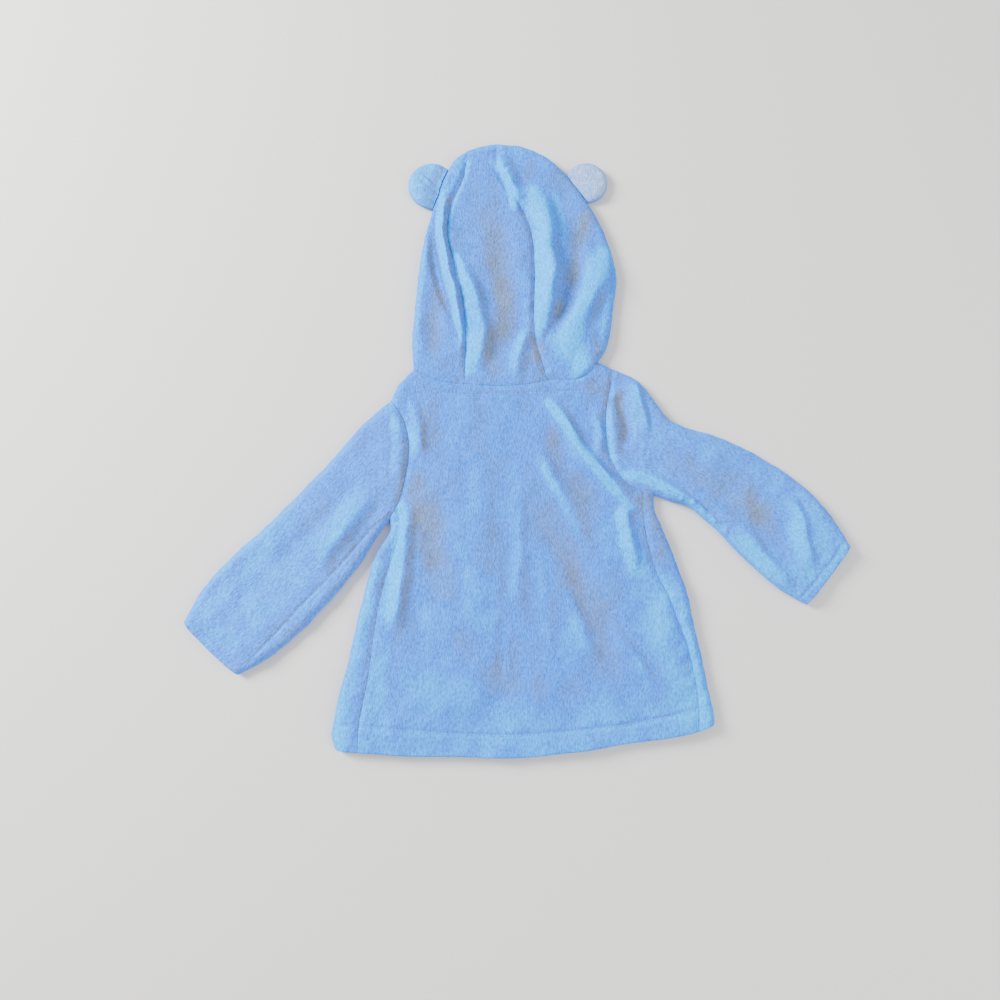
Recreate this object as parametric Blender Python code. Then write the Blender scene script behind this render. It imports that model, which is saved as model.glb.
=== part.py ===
"""A toddler's hooded plush pullover with two round ears, laid flat with its back up.

Every piece that is cut and sewn is one closed wall of cloth: body_back, body_front, two sleeves,
three hood panels and two discs for each ear. The tables give the outline, the seams and the folds
as they lie, in millimetres: X to the right, Y from hem to hood, Z up from the surface below.
The lower layer lies flat, the upper layer lies on it, and both meet along the fold lines of the
outline. A patch starts at such a fold line, or at a seam, and runs across to the other side.
"""

import bpy
import numpy as np

MM = 0.001

# Driving dimensions, mm
CLOTH = 3.0
FOLD_HEIGHT = 4.0
CROWN = 10.0
FOLD_REACH = 8.0
SEAM_GAP = 0.45
SEAM_DIP = 1.3
LEAST_AIR = 0.5
HEM_DEPTH = 21.0
CUFF_DEPTH = 11.0
TURN_UP = 0.7
TURN_UP_SLOPE = 4.0
SHOULDER_TURN = 7.5
CROWN_RAY = 28.0
EAR_CROWN = 10.5
EAR_ROOT_CROWN = 7.0
EAR_ROOT_GAP = 0.5
EAR_ROOT_FADE = 14.0
CURVE_STEP = 0.5
BOW_FADE = 3
WELD = 0.001

# How strongly the rays next to the end of a fold line lean towards the curve that crosses it there
END_PULL = (1.0, 0.5)

# Steps of the grids
SLEEVE_ROWS = 17
SLEEVE_STEPS = 11
SIDE_ROWS = 17
ARM_ROWS = 15
SHOULDER_STEPS = 3
NECK_STEPS = 18
FRONT_NECK_STEPS = 14
SLOPE_STEPS = 3
FLAP_STEPS = 2
HOOD_ROWS = 24
HOOD_UPPER = 5
HOOD_LOWER = 6
TOP_STEPS = 7
GUSSET_ROWS = 28
GUSSET_UNDER_ROWS = 4
EAR_ROWS = 16

# Angles round the fold line, in degrees, from the outermost line to the flat, and the sine past which
# the cloth counts as flat
UPPER_TURN = (0.0, 35.0, 63.0, 90.0)
LOWER_TURN = (0.0, 45.0, 90.0)
ALL_BUT_FLAT = 0.999

# Colours
BODY_BLUE = (0.27, 0.47, 0.83)
EAR_BLUE = (0.33, 0.53, 0.85)
ROUGHNESS = 0.9

# Fold lines of the outline: x, y
HOOD_EDGE_LEFT = (
    (-108, 133), (-110, 160), (-108, 190), (-105, 228), (-101, 262), (-95, 291),
    (-86, 321), (-77, 347), (-67, 364), (-54, 374),
)
HOOD_EDGE_TOP = ((-54, 374), (-40, 379), (-23, 382))
HOOD_EDGE_RIGHT = (
    (79, 141), (86, 150), (93, 171), (97, 200), (101, 233), (95, 262), (86, 288), (74, 311),
    (61, 331), (46, 351), (28, 367), (8, 377), (-23, 382),
)
SHOULDER_LEFT = ((-108, 133), (-122, 118), (-130, 101))
SHOULDER_RIGHT = ((79, 141), (86, 138), (94, 134))
SLEEVE_LEFT_UPPER = (
    (-130, 101), (-153, 81), (-188, 40), (-221, 4), (-252, -28), (-282, -56), (-311, -90), (-327, -121),
)
SLEEVE_LEFT_LOWER = (
    (-129, -21), (-136, -30), (-144, -42), (-156, -62), (-172, -83), (-191, -106), (-212, -128),
    (-232, -146), (-252, -160), (-273, -171),
)
SLEEVE_RIGHT_UPPER = (
    (94, 134), (104, 130), (119, 122), (136, 101), (152, 80), (170, 72), (194, 65), (227, 50),
    (268, 24), (289, 6), (311, -22), (325, -47),
)
SLEEVE_RIGHT_LOWER = (
    (133, 4), (142, 1), (152, -3), (164, -6), (183, -21), (199, -36), (219, -58), (236, -74),
    (255, -90), (279, -104),
)
BODY_EDGE_LEFT = (
    (-176, -241), (-180, -226), (-178, -211), (-174, -188), (-168, -165), (-162, -137), (-156, -108),
    (-150, -83), (-144, -60), (-134, -41), (-128, -30), (-129, -21),
)
BODY_EDGE_RIGHT = (
    (185, -217), (183, -199), (180, -186), (176, -160), (168, -121), (163, -94), (156, -72),
    (147, -46), (138, -24), (133, -9), (133, 4),
)

# Cut edges: x, y
HEM = (
    (-176, -241), (-145, -243), (-100, -246), (-58, -246), (-29, -247), (0, -247), (39, -243),
    (66, -240), (94, -235), (140, -229), (165, -224), (185, -217),
)
CUFF_LEFT = ((-327, -121), (-301, -147), (-273, -171))
CUFF_RIGHT = ((325, -47), (303, -76), (279, -104))
FACE_EDGE_LEFT = ((-46, 330), (-57, 290), (-60, 250), (-52, 200), (-36, 150), (-17, 104))
FACE_EDGE_RIGHT = ((-20, 332), (10, 292), (22, 250), (18, 200), (6, 150), (-11, 104))

# Seams, with their topmost or outermost point first: x, y
NECK_BACK = (
    (-108, 133), (-97, 127), (-82, 121), (-67, 118), (-48, 117), (-20, 115), (8, 117), (31, 122),
    (61, 123), (69, 127), (79, 141),
)
NECK_FRONT = (
    (-108, 133), (-97, 127), (-80, 115), (-50, 102), (-14, 98), (25, 102), (55, 115), (70, 128), (79, 141),
)
SHOULDER_SEAM = ((69, 127), (80, 116), (91, 108))
ARMHOLE_LEFT = ((-130, 101), (-117, 81), (-111, 58), (-113, 27), (-119, 0), (-129, -21))
ARMHOLE_RIGHT = ((94, 134), (91, 112), (87, 90), (86, 66), (89, 45), (96, 28), (105, 17), (117, 9), (133, 4))
SIDE_SEAM_LEFT = (
    (-122, -7), (-119, -22), (-121, -42), (-128, -66), (-135, -92), (-141, -128), (-146, -171), (-151, -200),
    (-154, -218), (-154, -243),
)
SIDE_SEAM_RIGHT = (
    (121, 7), (121, -12), (123, -33), (126, -51), (133, -73), (144, -96), (151, -116), (161, -145),
    (165, -166), (169, -212), (168, -223),
)
GUSSET_SEAM_LEFT = (
    (-54, 374), (-55, 362), (-57, 347), (-63, 330), (-70, 314), (-74, 297), (-75, 280), (-72, 262),
    (-66, 243), (-60, 216), (-56, 188), (-55, 160), (-56, 117),
)
GUSSET_SEAM_RIGHT = (
    (-23, 382), (-24, 370), (-23, 353), (-15, 334), (-3, 315), (8, 296), (14, 272), (16, 240), (15, 188),
    (17, 160), (22, 143), (28, 121),
)
GUSSET_UNDER_LEFT = ((-54, 374), (-55, 362), (-53, 346), (-46, 330))
GUSSET_UNDER_RIGHT = ((-23, 382), (-24, 370), (-23, 352), (-20, 332))

# Ears: middle and radius of the round part, its distance from the root, the direction in which it
# stands off the hood, in degrees, and the fold line of the hood that its root follows
EARS = (
    # name, x, y, radius, base, direction, outline
    ("ear_left", -91.9, 334.2, 25.0, 8.8, 158.0, HOOD_EDGE_LEFT),
    ("ear_right", 71.3, 337.5, 22.0, 12.0, 34.0, HOOD_EDGE_RIGHT),
)

# Folds of the upper layer: x and y of both ends, half width, height at the middle
FOLDS = (
    # hood
    (-85, 305, -58, 160, 11, 5.0),
    (-66, 255, -50, 125, 13, 5.0),
    (-15, 290, -16, 130, 24, -2.4),
    (4, 190, 5, 126, 15, 4.0),
    (-20, 352, 2, 295, 15, 3.5),
    (27, 330, 24, 165, 17, 9.0),
    (52, 268, 34, 155, 12, -2.4),
    (80, 232, 44, 146, 16, 5.5),
    (-86, 205, -84, 138, 10, -2.4),
    # back of the body
    (24, 98, 112, -12, 16, 7.0),
    (26, 66, 70, -14, 17, -2.4),
    (6, 50, 62, -52, 16, 4.0),
    (104, -14, 108, -90, 15, 3.5),
    (-110, -2, -126, -160, 15, 3.0),
    (-88, 0, -64, -80, 18, -2.0),
    (28, -4, 96, -150, 17, -2.4),
    (54, -90, 88, -160, 15, 3.5),
    (-24, -110, -22, -190, 16, 1.8),
    (-60, 60, -50, -220, 44, 2.0),
    # shoulders
    (105, 122, 119, 78, 14, 3.5),
    (104, 98, 103, 60, 11, -2.4),
    (80, 96, 82, 36, 13, 3.0),
    (-106, 92, -104, 34, 13, 3.0),
    # right sleeve
    (108, 20, 195, -26, 12, 5.0),
    (268, 6, 286, -88, 16, 4.5),
    (240, -8, 262, -62, 13, -2.2),
    (210, -28, 250, -86, 13, 3.5),
    (118, 74, 215, 28, 20, 3.0),
    # left sleeve
    (-138, 10, -214, -72, 20, 3.5),
    (-165, 44, -255, -54, 18, 2.0),
    (-165, -50, -248, -140, 10, -1.6),
    (-278, -86, -298, -132, 15, 2.5),
)
FOLD_TAPER = 0.35


def lengths(points):
    """Length along a polyline up to each of its points."""
    return np.r_[0.0, np.cumsum(np.linalg.norm(np.diff(points, axis=0), axis=1))]


def curve(table, step=CURVE_STEP):
    """A smooth curve through the points of a table, as points about a step apart."""
    knots = np.array(table, float)
    marks = lengths(knots)
    slopes = np.gradient(knots, marks, axis=0)
    at = np.linspace(0.0, marks[-1], int(marks[-1] / step) + 2)
    span = np.clip(np.searchsorted(marks, at, side="right") - 1, 0, len(knots) - 2)
    width = (marks[span + 1] - marks[span])[:, None]
    t = (at - marks[span])[:, None] / width
    start = (1 + 2 * t) * (1 - t) ** 2 * knots[span] + t * (1 - t) ** 2 * width * slopes[span]
    end = t * t * (3 - 2 * t) * knots[span + 1] + t * t * (t - 1) * width * slopes[span + 1]
    return start + end


def at_lengths(points, marks):
    """The points of a polyline at given lengths along it."""
    along = lengths(points)
    return np.column_stack([np.interp(marks, along, points[:, 0]), np.interp(marks, along, points[:, 1])])


def spaced(points, count, start=0.0, end=0.0):
    """count steps of equal length, from start after a polyline's first point to end before its last."""
    return at_lengths(points, np.linspace(start, lengths(points)[-1] - end, count + 1))


def smooth(t):
    """0 below 0, 1 above 1, and a smooth step between."""
    t = np.clip(t, 0.0, 1.0)
    return t * t * (3 - 2 * t)


def side_steps(points):
    """Unit vectors to the left of a polyline's direction, one at each point."""
    along = np.gradient(points, axis=0)
    along /= np.linalg.norm(along, axis=1)[:, None]
    return np.column_stack([-along[:, 1], along[:, 0]])


def moved(points, distance):
    """A polyline moved to the left of its own direction."""
    return points + side_steps(points) * distance


def nearest(points, place):
    """The index of a polyline's point nearest to a place."""
    return int(np.argmin(np.linalg.norm(points - place, axis=1)))


def meeting(one, other):
    """The point where two polylines cross, from the lines through their nearest points."""
    apart = np.linalg.norm(one[:, None] - other[None], axis=2)
    i, j = np.unravel_index(np.argmin(apart), apart.shape)
    way, way_other = np.gradient(one, axis=0)[i], np.gradient(other, axis=0)[j]
    along, _ = np.linalg.solve(np.column_stack([way, -way_other]), other[j] - one[i])
    return one[i] + way * along


def stretch(points, start, end):
    """The part of a polyline from one place to another, in that direction, with those as its ends."""
    first, last = nearest(points, start), nearest(points, end)
    part = points[first : last + 1] if first <= last else points[last : first + 1][::-1]
    part = part.copy()
    part[0], part[-1] = start, end
    return part


def joined(*parts):
    """Polylines one after another as one, with each shared point kept once."""
    return np.vstack([parts[0]] + [p[1:] for p in parts[1:]])


def bow(points, v):
    """How far a curve bends away from the straight line between its ends, at fractions v along it."""
    return points - (1 - v) * points[0] - v * points[-1]


def coons(near, far, first, last):
    """Points over a four-sided patch: near and far run one way, first and last join their ends.

    Straight lines join near to far. The bend of the first and the last side fades out between them.
    """
    u = (lengths(near) / lengths(near)[-1] + lengths(far) / lengths(far)[-1]) / 2
    v = (lengths(first) / lengths(first)[-1] + lengths(last) / lengths(last)[-1]) / 2
    u, v = u[:, None, None], v[:, None]
    across = (1 - v) * near[:, None] + v * far[:, None]
    return across + (1 - u) ** BOW_FADE * bow(first, v) + u**BOW_FADE * bow(last, v)


def relief(plan):
    """How far the folds lift or sink the upper layer at each point."""
    lift = np.zeros(plan.shape[:-1])
    for x0, y0, x1, y1, half, height in FOLDS:
        start, way = np.array((x0, y0), float), np.array((x1 - x0, y1 - y0), float)
        t = ((plan - start) @ way) / (way @ way)
        inside = np.clip(t, 0.0, 1.0)
        offset = np.linalg.norm(plan - start - inside[..., None] * way, axis=-1)
        ends = np.clip(np.minimum(inside, 1 - inside) / FOLD_TAPER, 0.0, 1.0)
        crest = np.clip(1 - (offset / (1.6 * half)) ** 2, 0.0, 1.0) ** 2
        lift += height * crest * ends * ends * (3 - 2 * ends)
    least = -(CROWN - SEAM_DIP - 2 * CLOTH - LEAST_AIR)
    return np.maximum(lift, least)


class Sheet:
    """A patch of one layer: its outer and inner points, and how far round the fold each one is."""

    def __init__(self, outer, inner, turn, upper, fold=FOLD_HEIGHT, crown=CROWN):
        rise = np.sin(turn)
        if upper:
            lift = relief(outer) * rise
            top = fold + (crown - fold) * rise + lift
            bottom = fold + (crown - fold - CLOTH) * rise + lift
        else:
            top = fold - fold * rise
            bottom = fold - (fold - CLOTH) * rise
        self.upper = upper
        self.rise = rise
        self.outer = np.dstack([outer, top])
        self.inner = np.dstack([inner, bottom])

    def sink(self, *edges):
        """Lowers the upper layer once along all of the given edges, where a seam draws the cloth in."""
        dip = np.zeros(self.rise.shape)
        for edge in edges:
            dip[edge] = SEAM_DIP
        for side in (self.outer, self.inner):
            side[..., 2] -= dip * self.rise * self.upper
        return self

    def turn_up(self, cut_edge, depth):
        """Adds the turned-up hem to the inner side, over its depth from the cut edge."""
        plan = self.outer[..., :2]
        from_edge = np.linalg.norm(plan[..., None, :] - cut_edge[::4], axis=-1).min(axis=-1)
        flat = self.rise > ALL_BUT_FLAT
        ply = TURN_UP * np.clip((depth - from_edge) / TURN_UP_SLOPE + 0.5, 0.0, 1.0) * flat
        self.inner[..., 2] += -ply if self.upper else ply
        return self


def turn_angles(upper):
    """The angles round the fold line for a layer, in radians."""
    return np.radians(UPPER_TURN if upper else LOWER_TURN)


def border(edge, first, last, upper, fold=FOLD_HEIGHT, reach=FOLD_REACH):
    """The strip that turns over a fold line, with its first and last rays laid along two curves."""
    turn = turn_angles(upper)
    radius = reach if upper else fold
    out = radius * (1 - np.cos(turn))
    into = CLOTH + (radius - CLOTH) * (1 - np.cos(turn))
    steps = side_steps(edge)
    steps[0] = at_lengths(first, [CLOTH])[0] - edge[0]
    steps[-1] = at_lengths(last, [CLOTH])[0] - edge[-1]
    steps /= np.linalg.norm(steps, axis=1)[:, None]
    for i, pull in enumerate(END_PULL, start=1):
        steps[i] += steps[0] * pull
        steps[-1 - i] += steps[-1] * pull
    steps /= np.linalg.norm(steps, axis=1)[:, None]
    outer = edge[:, None] + steps[:, None] * out[None, :, None]
    inner = edge[:, None] + steps[:, None] * into[None, :, None]
    for index, ray in ((0, first), (-1, last)):
        outer[index, 1:] = at_lengths(ray, out)[1:]
        inner[index, 1:] = at_lengths(ray, into)[1:]
    return outer, inner, np.broadcast_to(turn, outer.shape[:2])


def fan(edge, first, last, far, upper, steps_across):
    """A patch from a fold line to an opposite line. first and last start at the fold line's ends."""
    outer, inner, turn = border(edge, first, last, upper)
    radius = FOLD_REACH if upper else FOLD_HEIGHT
    first_side, last_side = (spaced(ray, steps_across, radius) for ray in (first, last))
    plan = coons(outer[:, -1], far, first_side, last_side)
    flat = np.full(plan[:, 1:].shape[:2], np.pi / 2)
    return (
        np.concatenate([outer, plan[:, 1:]], axis=1),
        np.concatenate([inner, plan[:, 1:]], axis=1),
        np.concatenate([turn, flat], axis=1),
    )


def tube_layer(low, high, armhole, cuff, upper, steps_across):
    """One layer of a sleeve, from its lower to its upper fold line."""
    radius = FOLD_REACH if upper else FOLD_HEIGHT
    back_armhole, back_cuff = armhole[::-1], cuff[::-1]
    low_outer, low_inner, turn = border(low, armhole, cuff, upper)
    high_outer, high_inner, _ = border(high[::-1], back_cuff, back_armhole, upper)
    high_outer, high_inner = high_outer[::-1], high_inner[::-1]
    plan = coons(
        low_outer[:, -1],
        high_outer[:, -1],
        spaced(armhole, steps_across, radius, radius),
        spaced(cuff, steps_across, radius, radius),
    )
    middle = plan[:, 1:-1]
    flat = np.full(middle.shape[:2], np.pi / 2)
    return (
        np.concatenate([low_outer, middle, high_outer[:, ::-1]], axis=1),
        np.concatenate([low_inner, middle, high_inner[:, ::-1]], axis=1),
        np.concatenate([turn, flat, turn[:, ::-1]], axis=1),
    )


def faces_of(sheet, start):
    """Quads of a sheet's outer side, facing away from the cloth, as indices from start on."""
    rows, columns = sheet.outer.shape[:2]
    index = start + np.arange(rows * columns).reshape(rows, columns)
    quads = np.stack([index[:-1, :-1], index[1:, :-1], index[1:, 1:], index[:-1, 1:]], axis=-1)
    plan = sheet.outer[..., :2]
    one, two = plan[1:, 1:] - plan[:-1, :-1], plan[:-1, 1:] - plan[1:, :-1]
    area = (one[..., 0] * two[..., 1] - one[..., 1] * two[..., 0]).sum()
    quads = quads.reshape(-1, 4)
    return quads if (area > 0) == sheet.upper else quads[:, ::-1]


def welded(points, others):
    """The number that pairs of points share where both agree, and the first of each such pair."""
    keys = np.round(np.hstack([points, others]) / WELD).astype(np.int64)
    _, first, number = np.unique(keys, axis=0, return_index=True, return_inverse=True)
    return number.ravel(), first


def split_quads(quads, points):
    """Two triangles for each quad, along the diagonal whose smaller triangle is larger."""

    def area(a, b, c):
        return np.linalg.norm(np.cross(points[b] - points[a], points[c] - points[a]), axis=1)

    a, b, c, d = quads.T
    one = np.minimum(area(a, b, c), area(a, c, d)) >= np.minimum(area(a, b, d), area(b, c, d))
    first = np.where(one[:, None], np.column_stack([a, b, c]), np.column_stack([a, b, d]))
    second = np.where(one[:, None], np.column_stack([a, c, d]), np.column_stack([b, c, d]))
    return np.vstack([first, second])


def make_shell(name, sheets, material):
    """One closed wall of cloth from sheets that share their fold lines."""
    quads, outer, inner = [], [], []
    start = 0
    for sheet in sheets:
        quads.append(faces_of(sheet, start))
        outer.append(sheet.outer.reshape(-1, 3))
        inner.append(sheet.inner.reshape(-1, 3))
        start += len(outer[-1])
    outer, inner = np.vstack(outer), np.vstack(inner)
    number, first = welded(outer, inner)
    quads = number[np.vstack(quads)]
    outer, inner = outer[first], inner[first]
    count = len(outer)
    edges = np.vstack([quads[:, [k, (k + 1) % 4]] for k in range(4)])
    seen = set(map(tuple, edges.tolist()))
    rim = np.array([(b, a) for a, b in edges.tolist() if (b, a) not in seen])
    rim_quads = np.column_stack([rim[:, 0], rim[:, 1], rim[:, 1] + count, rim[:, 0] + count])
    points = np.vstack([outer, inner]) * MM
    faces = np.vstack([
        split_quads(quads, points),
        split_quads(quads, points[:count])[:, ::-1] + count,
        split_quads(rim_quads, points),
    ])
    distinct = (faces[:, 0] != faces[:, 1]) & (faces[:, 1] != faces[:, 2]) & (faces[:, 2] != faces[:, 0])
    mesh = bpy.data.meshes.new(name)
    mesh.from_pydata(points.tolist(), [], faces[distinct].tolist())
    mesh.materials.append(material)
    mesh.shade_smooth()
    mesh.update()
    part = bpy.data.objects.new(name, mesh)
    bpy.context.collection.objects.link(part)
    return part


def plush(name, colour):
    """The soft pale cloth of one piece."""
    material = bpy.data.materials.new(name + "_plush")
    material.use_nodes = True
    shader = material.node_tree.nodes["Principled BSDF"]
    shader.inputs["Base Color"].default_value = (*colour, 1.0)
    shader.inputs["Roughness"].default_value = ROUGHNESS
    return material


def trimmed(table, side):
    """A seam's curve moved off the seam by half the gap, to the left for side 1, to the right for -1."""
    return moved(curve(table), side * SEAM_GAP / 2)


def share_fold(lower, upper):
    """Gives the lower layer's patch the very points of the upper one along their fold line."""
    for low, high in zip(lower[:2], upper[:2]):
        low[:, 0] = high[:, 0]
    return lower


def fold_edge(table, count, first, last):
    """A fold line of the outline in equal steps, its ends moved onto the seams that cross it there."""
    edge = spaced(curve(table), count)
    edge[0], edge[-1] = first, last
    return edge


def make_sleeve(name, near, far, seam, hem):
    """A sleeve as a flattened tube, open at the armhole and the cuff, from one fold line to the other."""
    near[0], near[-1] = seam[0], hem[0]
    far[0], far[-1] = seam[-1], hem[-1]
    sheets = []
    for upper in (True, False):
        sheet = Sheet(*tube_layer(near, far, seam, hem, upper, SLEEVE_STEPS), upper)
        sheets.append(sheet.sink(np.s_[0, :]).turn_up(hem, CUFF_DEPTH))
    return make_shell(name, sheets, plush(name, BODY_BLUE))


def make_sleeves():
    """Both sleeves. Each starts from the fold line that has the sleeve on its left."""
    make_sleeve(
        "sleeve_left",
        spaced(curve(SLEEVE_LEFT_UPPER), SLEEVE_ROWS),
        spaced(curve(SLEEVE_LEFT_LOWER), SLEEVE_ROWS),
        trimmed(ARMHOLE_LEFT, -1),
        curve(CUFF_LEFT),
    )
    make_sleeve(
        "sleeve_right",
        spaced(curve(SLEEVE_RIGHT_LOWER), SLEEVE_ROWS),
        spaced(curve(SLEEVE_RIGHT_UPPER), SLEEVE_ROWS),
        trimmed(ARMHOLE_RIGHT, 1)[::-1],
        curve(CUFF_RIGHT)[::-1],
    )


def flat_panel(bottom, top, left, right, upper):
    """A patch without a fold line, between four curves that share their corners."""
    plan = coons(bottom, top, left, right)
    return Sheet(plan, plan, np.full(plan.shape[:2], np.pi / 2), upper)


def shoulder_line_inset(distance, neck_below, arm_left):
    """The seam under the left shoulder, from the neck to the armhole, at a distance from the fold line."""
    line = moved(spaced(curve(SHOULDER_LEFT), SHOULDER_STEPS), distance)
    line[0] = at_lengths(neck_below, [distance])[0]
    line[-1] = at_lengths(arm_left, [distance])[0]
    return line


def make_back():
    """The back: the upper layer between the side seams, turned under along the left shoulder."""
    hem = curve(HEM)
    arm_left, arm_right = trimmed(ARMHOLE_LEFT, 1), trimmed(ARMHOLE_RIGHT, -1)
    neck, neck_below = trimmed(NECK_BACK, -1), trimmed(NECK_FRONT, -1)
    slope = trimmed(SHOULDER_SEAM, -1)
    side_left, side_right = trimmed(SIDE_SEAM_LEFT, 1), trimmed(SIDE_SEAM_RIGHT, -1)

    shoulder = fold_edge(SHOULDER_LEFT, SHOULDER_STEPS, neck[0], arm_left[0])
    over = border(shoulder, neck, arm_left, True)
    turned_over = Sheet(*over, True).sink(np.s_[0, :], np.s_[-1, :])
    inset = shoulder_line_inset(SHOULDER_TURN, neck_below, arm_left)
    below = share_fold(border(shoulder, neck_below, arm_left, False), over)
    turned_under = Sheet(
        np.concatenate([below[0], inset[:, None]], axis=1),
        np.concatenate([below[1], inset[:, None]], axis=1),
        np.concatenate([below[2], below[2][:, -1:]], axis=1),
        False,
    )

    neck_end, slope_end = meeting(neck, slope), meeting(arm_right, slope)
    corner_left, corner_right = meeting(arm_left, side_left), meeting(arm_right, side_right)
    hem_left, hem_right = meeting(hem, side_left), meeting(hem, side_right)
    shoulder_line = over[0][::-1, -1]
    top = joined(
        shoulder_line,
        spaced(stretch(neck, shoulder_line[-1], neck_end), NECK_STEPS),
        spaced(stretch(slope, neck_end, slope_end), SLOPE_STEPS),
    )
    left = joined(
        spaced(stretch(side_left, hem_left, corner_left), SIDE_ROWS),
        spaced(stretch(arm_left, corner_left, shoulder_line[0]), ARM_ROWS),
    )
    right = joined(
        spaced(stretch(side_right, hem_right, corner_right), SIDE_ROWS),
        spaced(stretch(arm_right, corner_right, slope_end), ARM_ROWS),
    )
    bottom = spaced(stretch(hem, hem_left, hem_right), len(top) - 1)
    panel = flat_panel(bottom, top, left, right, True)
    panel.sink(np.s_[0, :], np.s_[-1, :], np.s_[SHOULDER_STEPS:, -1]).turn_up(hem, HEM_DEPTH)
    make_shell("body_back", [panel, turned_over, turned_under], plush("body_back", BODY_BLUE))


def make_front():
    """The front: the flat lower layer, turned over both sides and the right shoulder up to their seams."""
    hem = curve(HEM)
    arm_left, arm_right = trimmed(ARMHOLE_LEFT, 1), trimmed(ARMHOLE_RIGHT, -1)
    neck, neck_below = trimmed(NECK_BACK, -1), trimmed(NECK_FRONT, -1)
    slope = trimmed(SHOULDER_SEAM, 1)
    side_left, side_right = trimmed(SIDE_SEAM_LEFT, -1), trimmed(SIDE_SEAM_RIGHT, 1)
    corner_left, corner_right = meeting(arm_left, side_left), meeting(arm_right, side_right)
    hem_left, hem_right = meeting(hem, side_left), meeting(hem, side_right)
    neck_end, slope_end = meeting(neck, slope), meeting(arm_right, slope)

    flaps = (
        # table of the fold line, its steps, the ray at each of its ends, the seam opposite
        (
            BODY_EDGE_LEFT[::-1], SIDE_ROWS, stretch(arm_left, arm_left[-1], corner_left),
            stretch(hem, hem[0], hem_left), stretch(side_left, corner_left, hem_left),
        ),
        (
            BODY_EDGE_RIGHT, SIDE_ROWS, stretch(hem, hem[-1], hem_right),
            stretch(arm_right, arm_right[-1], corner_right), stretch(side_right, hem_right, corner_right),
        ),
        (
            SHOULDER_RIGHT[::-1], SHOULDER_STEPS, stretch(arm_right, arm_right[0], slope_end),
            stretch(neck, neck[-1], neck_end), stretch(slope, slope_end, neck_end),
        ),
    )
    rays_below = ((arm_left[::-1], hem), (hem[::-1], arm_right[::-1]), (arm_right, neck_below[::-1]))
    sheets, turned = [], []
    for (table, steps, first, last, far), (first_below, last_below) in zip(flaps, rays_below):
        edge = fold_edge(table, steps, first[0], last[0])
        over = fan(edge, first, last, spaced(far, steps), True, FLAP_STEPS)
        below = share_fold(border(edge, first_below, last_below, False), over)
        sheets.append(Sheet(*over, True).sink(np.s_[:, -1]).turn_up(hem, HEM_DEPTH))
        sheets.append(Sheet(*below, False).turn_up(hem, HEM_DEPTH))
        turned.append(below[0][:, -1])

    left_line, right_line, shoulder_line = turned[0][::-1], turned[1], turned[2]
    inset = shoulder_line_inset(SHOULDER_TURN + SEAM_GAP, neck_below, arm_left)[::-1]
    left = joined(left_line, spaced(stretch(arm_left, left_line[-1], inset[0]), ARM_ROWS))
    right = joined(right_line, spaced(stretch(arm_right, right_line[-1], shoulder_line[0]), ARM_ROWS))
    top = joined(
        inset,
        spaced(stretch(neck_below, inset[-1], shoulder_line[-1]), FRONT_NECK_STEPS),
        shoulder_line[::-1],
    )
    bottom = spaced(stretch(hem, left_line[0], right_line[0]), len(top) - 1)
    panel = flat_panel(bottom, top, left, right, False).turn_up(hem, HEM_DEPTH)
    make_shell("body_front", [panel] + sheets, plush("body_front", BODY_BLUE))


def make_hood_side(name, edge_table, neck, neck_below, seam, under_seam, face, from_top):
    """A side panel of the hood: over the top layer to the gusset, and under it to the face's edge.

    Every curve starts at the fold line, the face's edge at its upper end. from_top says that the
    fold line runs down from the gusset, and otherwise it runs up to it.
    """
    low_corner, face_low = meeting(neck, seam), meeting(neck_below, face)
    bend = at_lengths(seam, [CROWN_RAY])[0]
    top_ray, neck_ray = stretch(seam, seam[0], bend), stretch(neck, neck[0], low_corner)
    far = stretch(seam, bend, low_corner)
    under_ray = stretch(under_seam, under_seam[0], face[0])
    under_neck_ray = stretch(neck_below, neck_below[0], face_low)
    under_far = stretch(face, face[0], face_low)
    rays, under_rays = (top_ray, neck_ray), (under_ray, under_neck_ray)
    if not from_top:
        rays, under_rays = rays[::-1], under_rays[::-1]
        far, under_far = far[::-1], under_far[::-1]
    edge = fold_edge(edge_table, HOOD_ROWS, rays[0][0], rays[1][0])
    over = fan(edge, *rays, spaced(far, HOOD_ROWS), True, HOOD_UPPER)
    under = share_fold(fan(edge, *under_rays, spaced(under_far, HOOD_ROWS), False, HOOD_LOWER), over)
    top_end, low_end = (0, -1) if from_top else (-1, 0)
    upper = Sheet(*over, True).sink(np.s_[top_end, :], np.s_[low_end, :], np.s_[:, -1])
    make_shell(name, [upper, Sheet(*under, False)], plush(name, BODY_BLUE))


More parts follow.
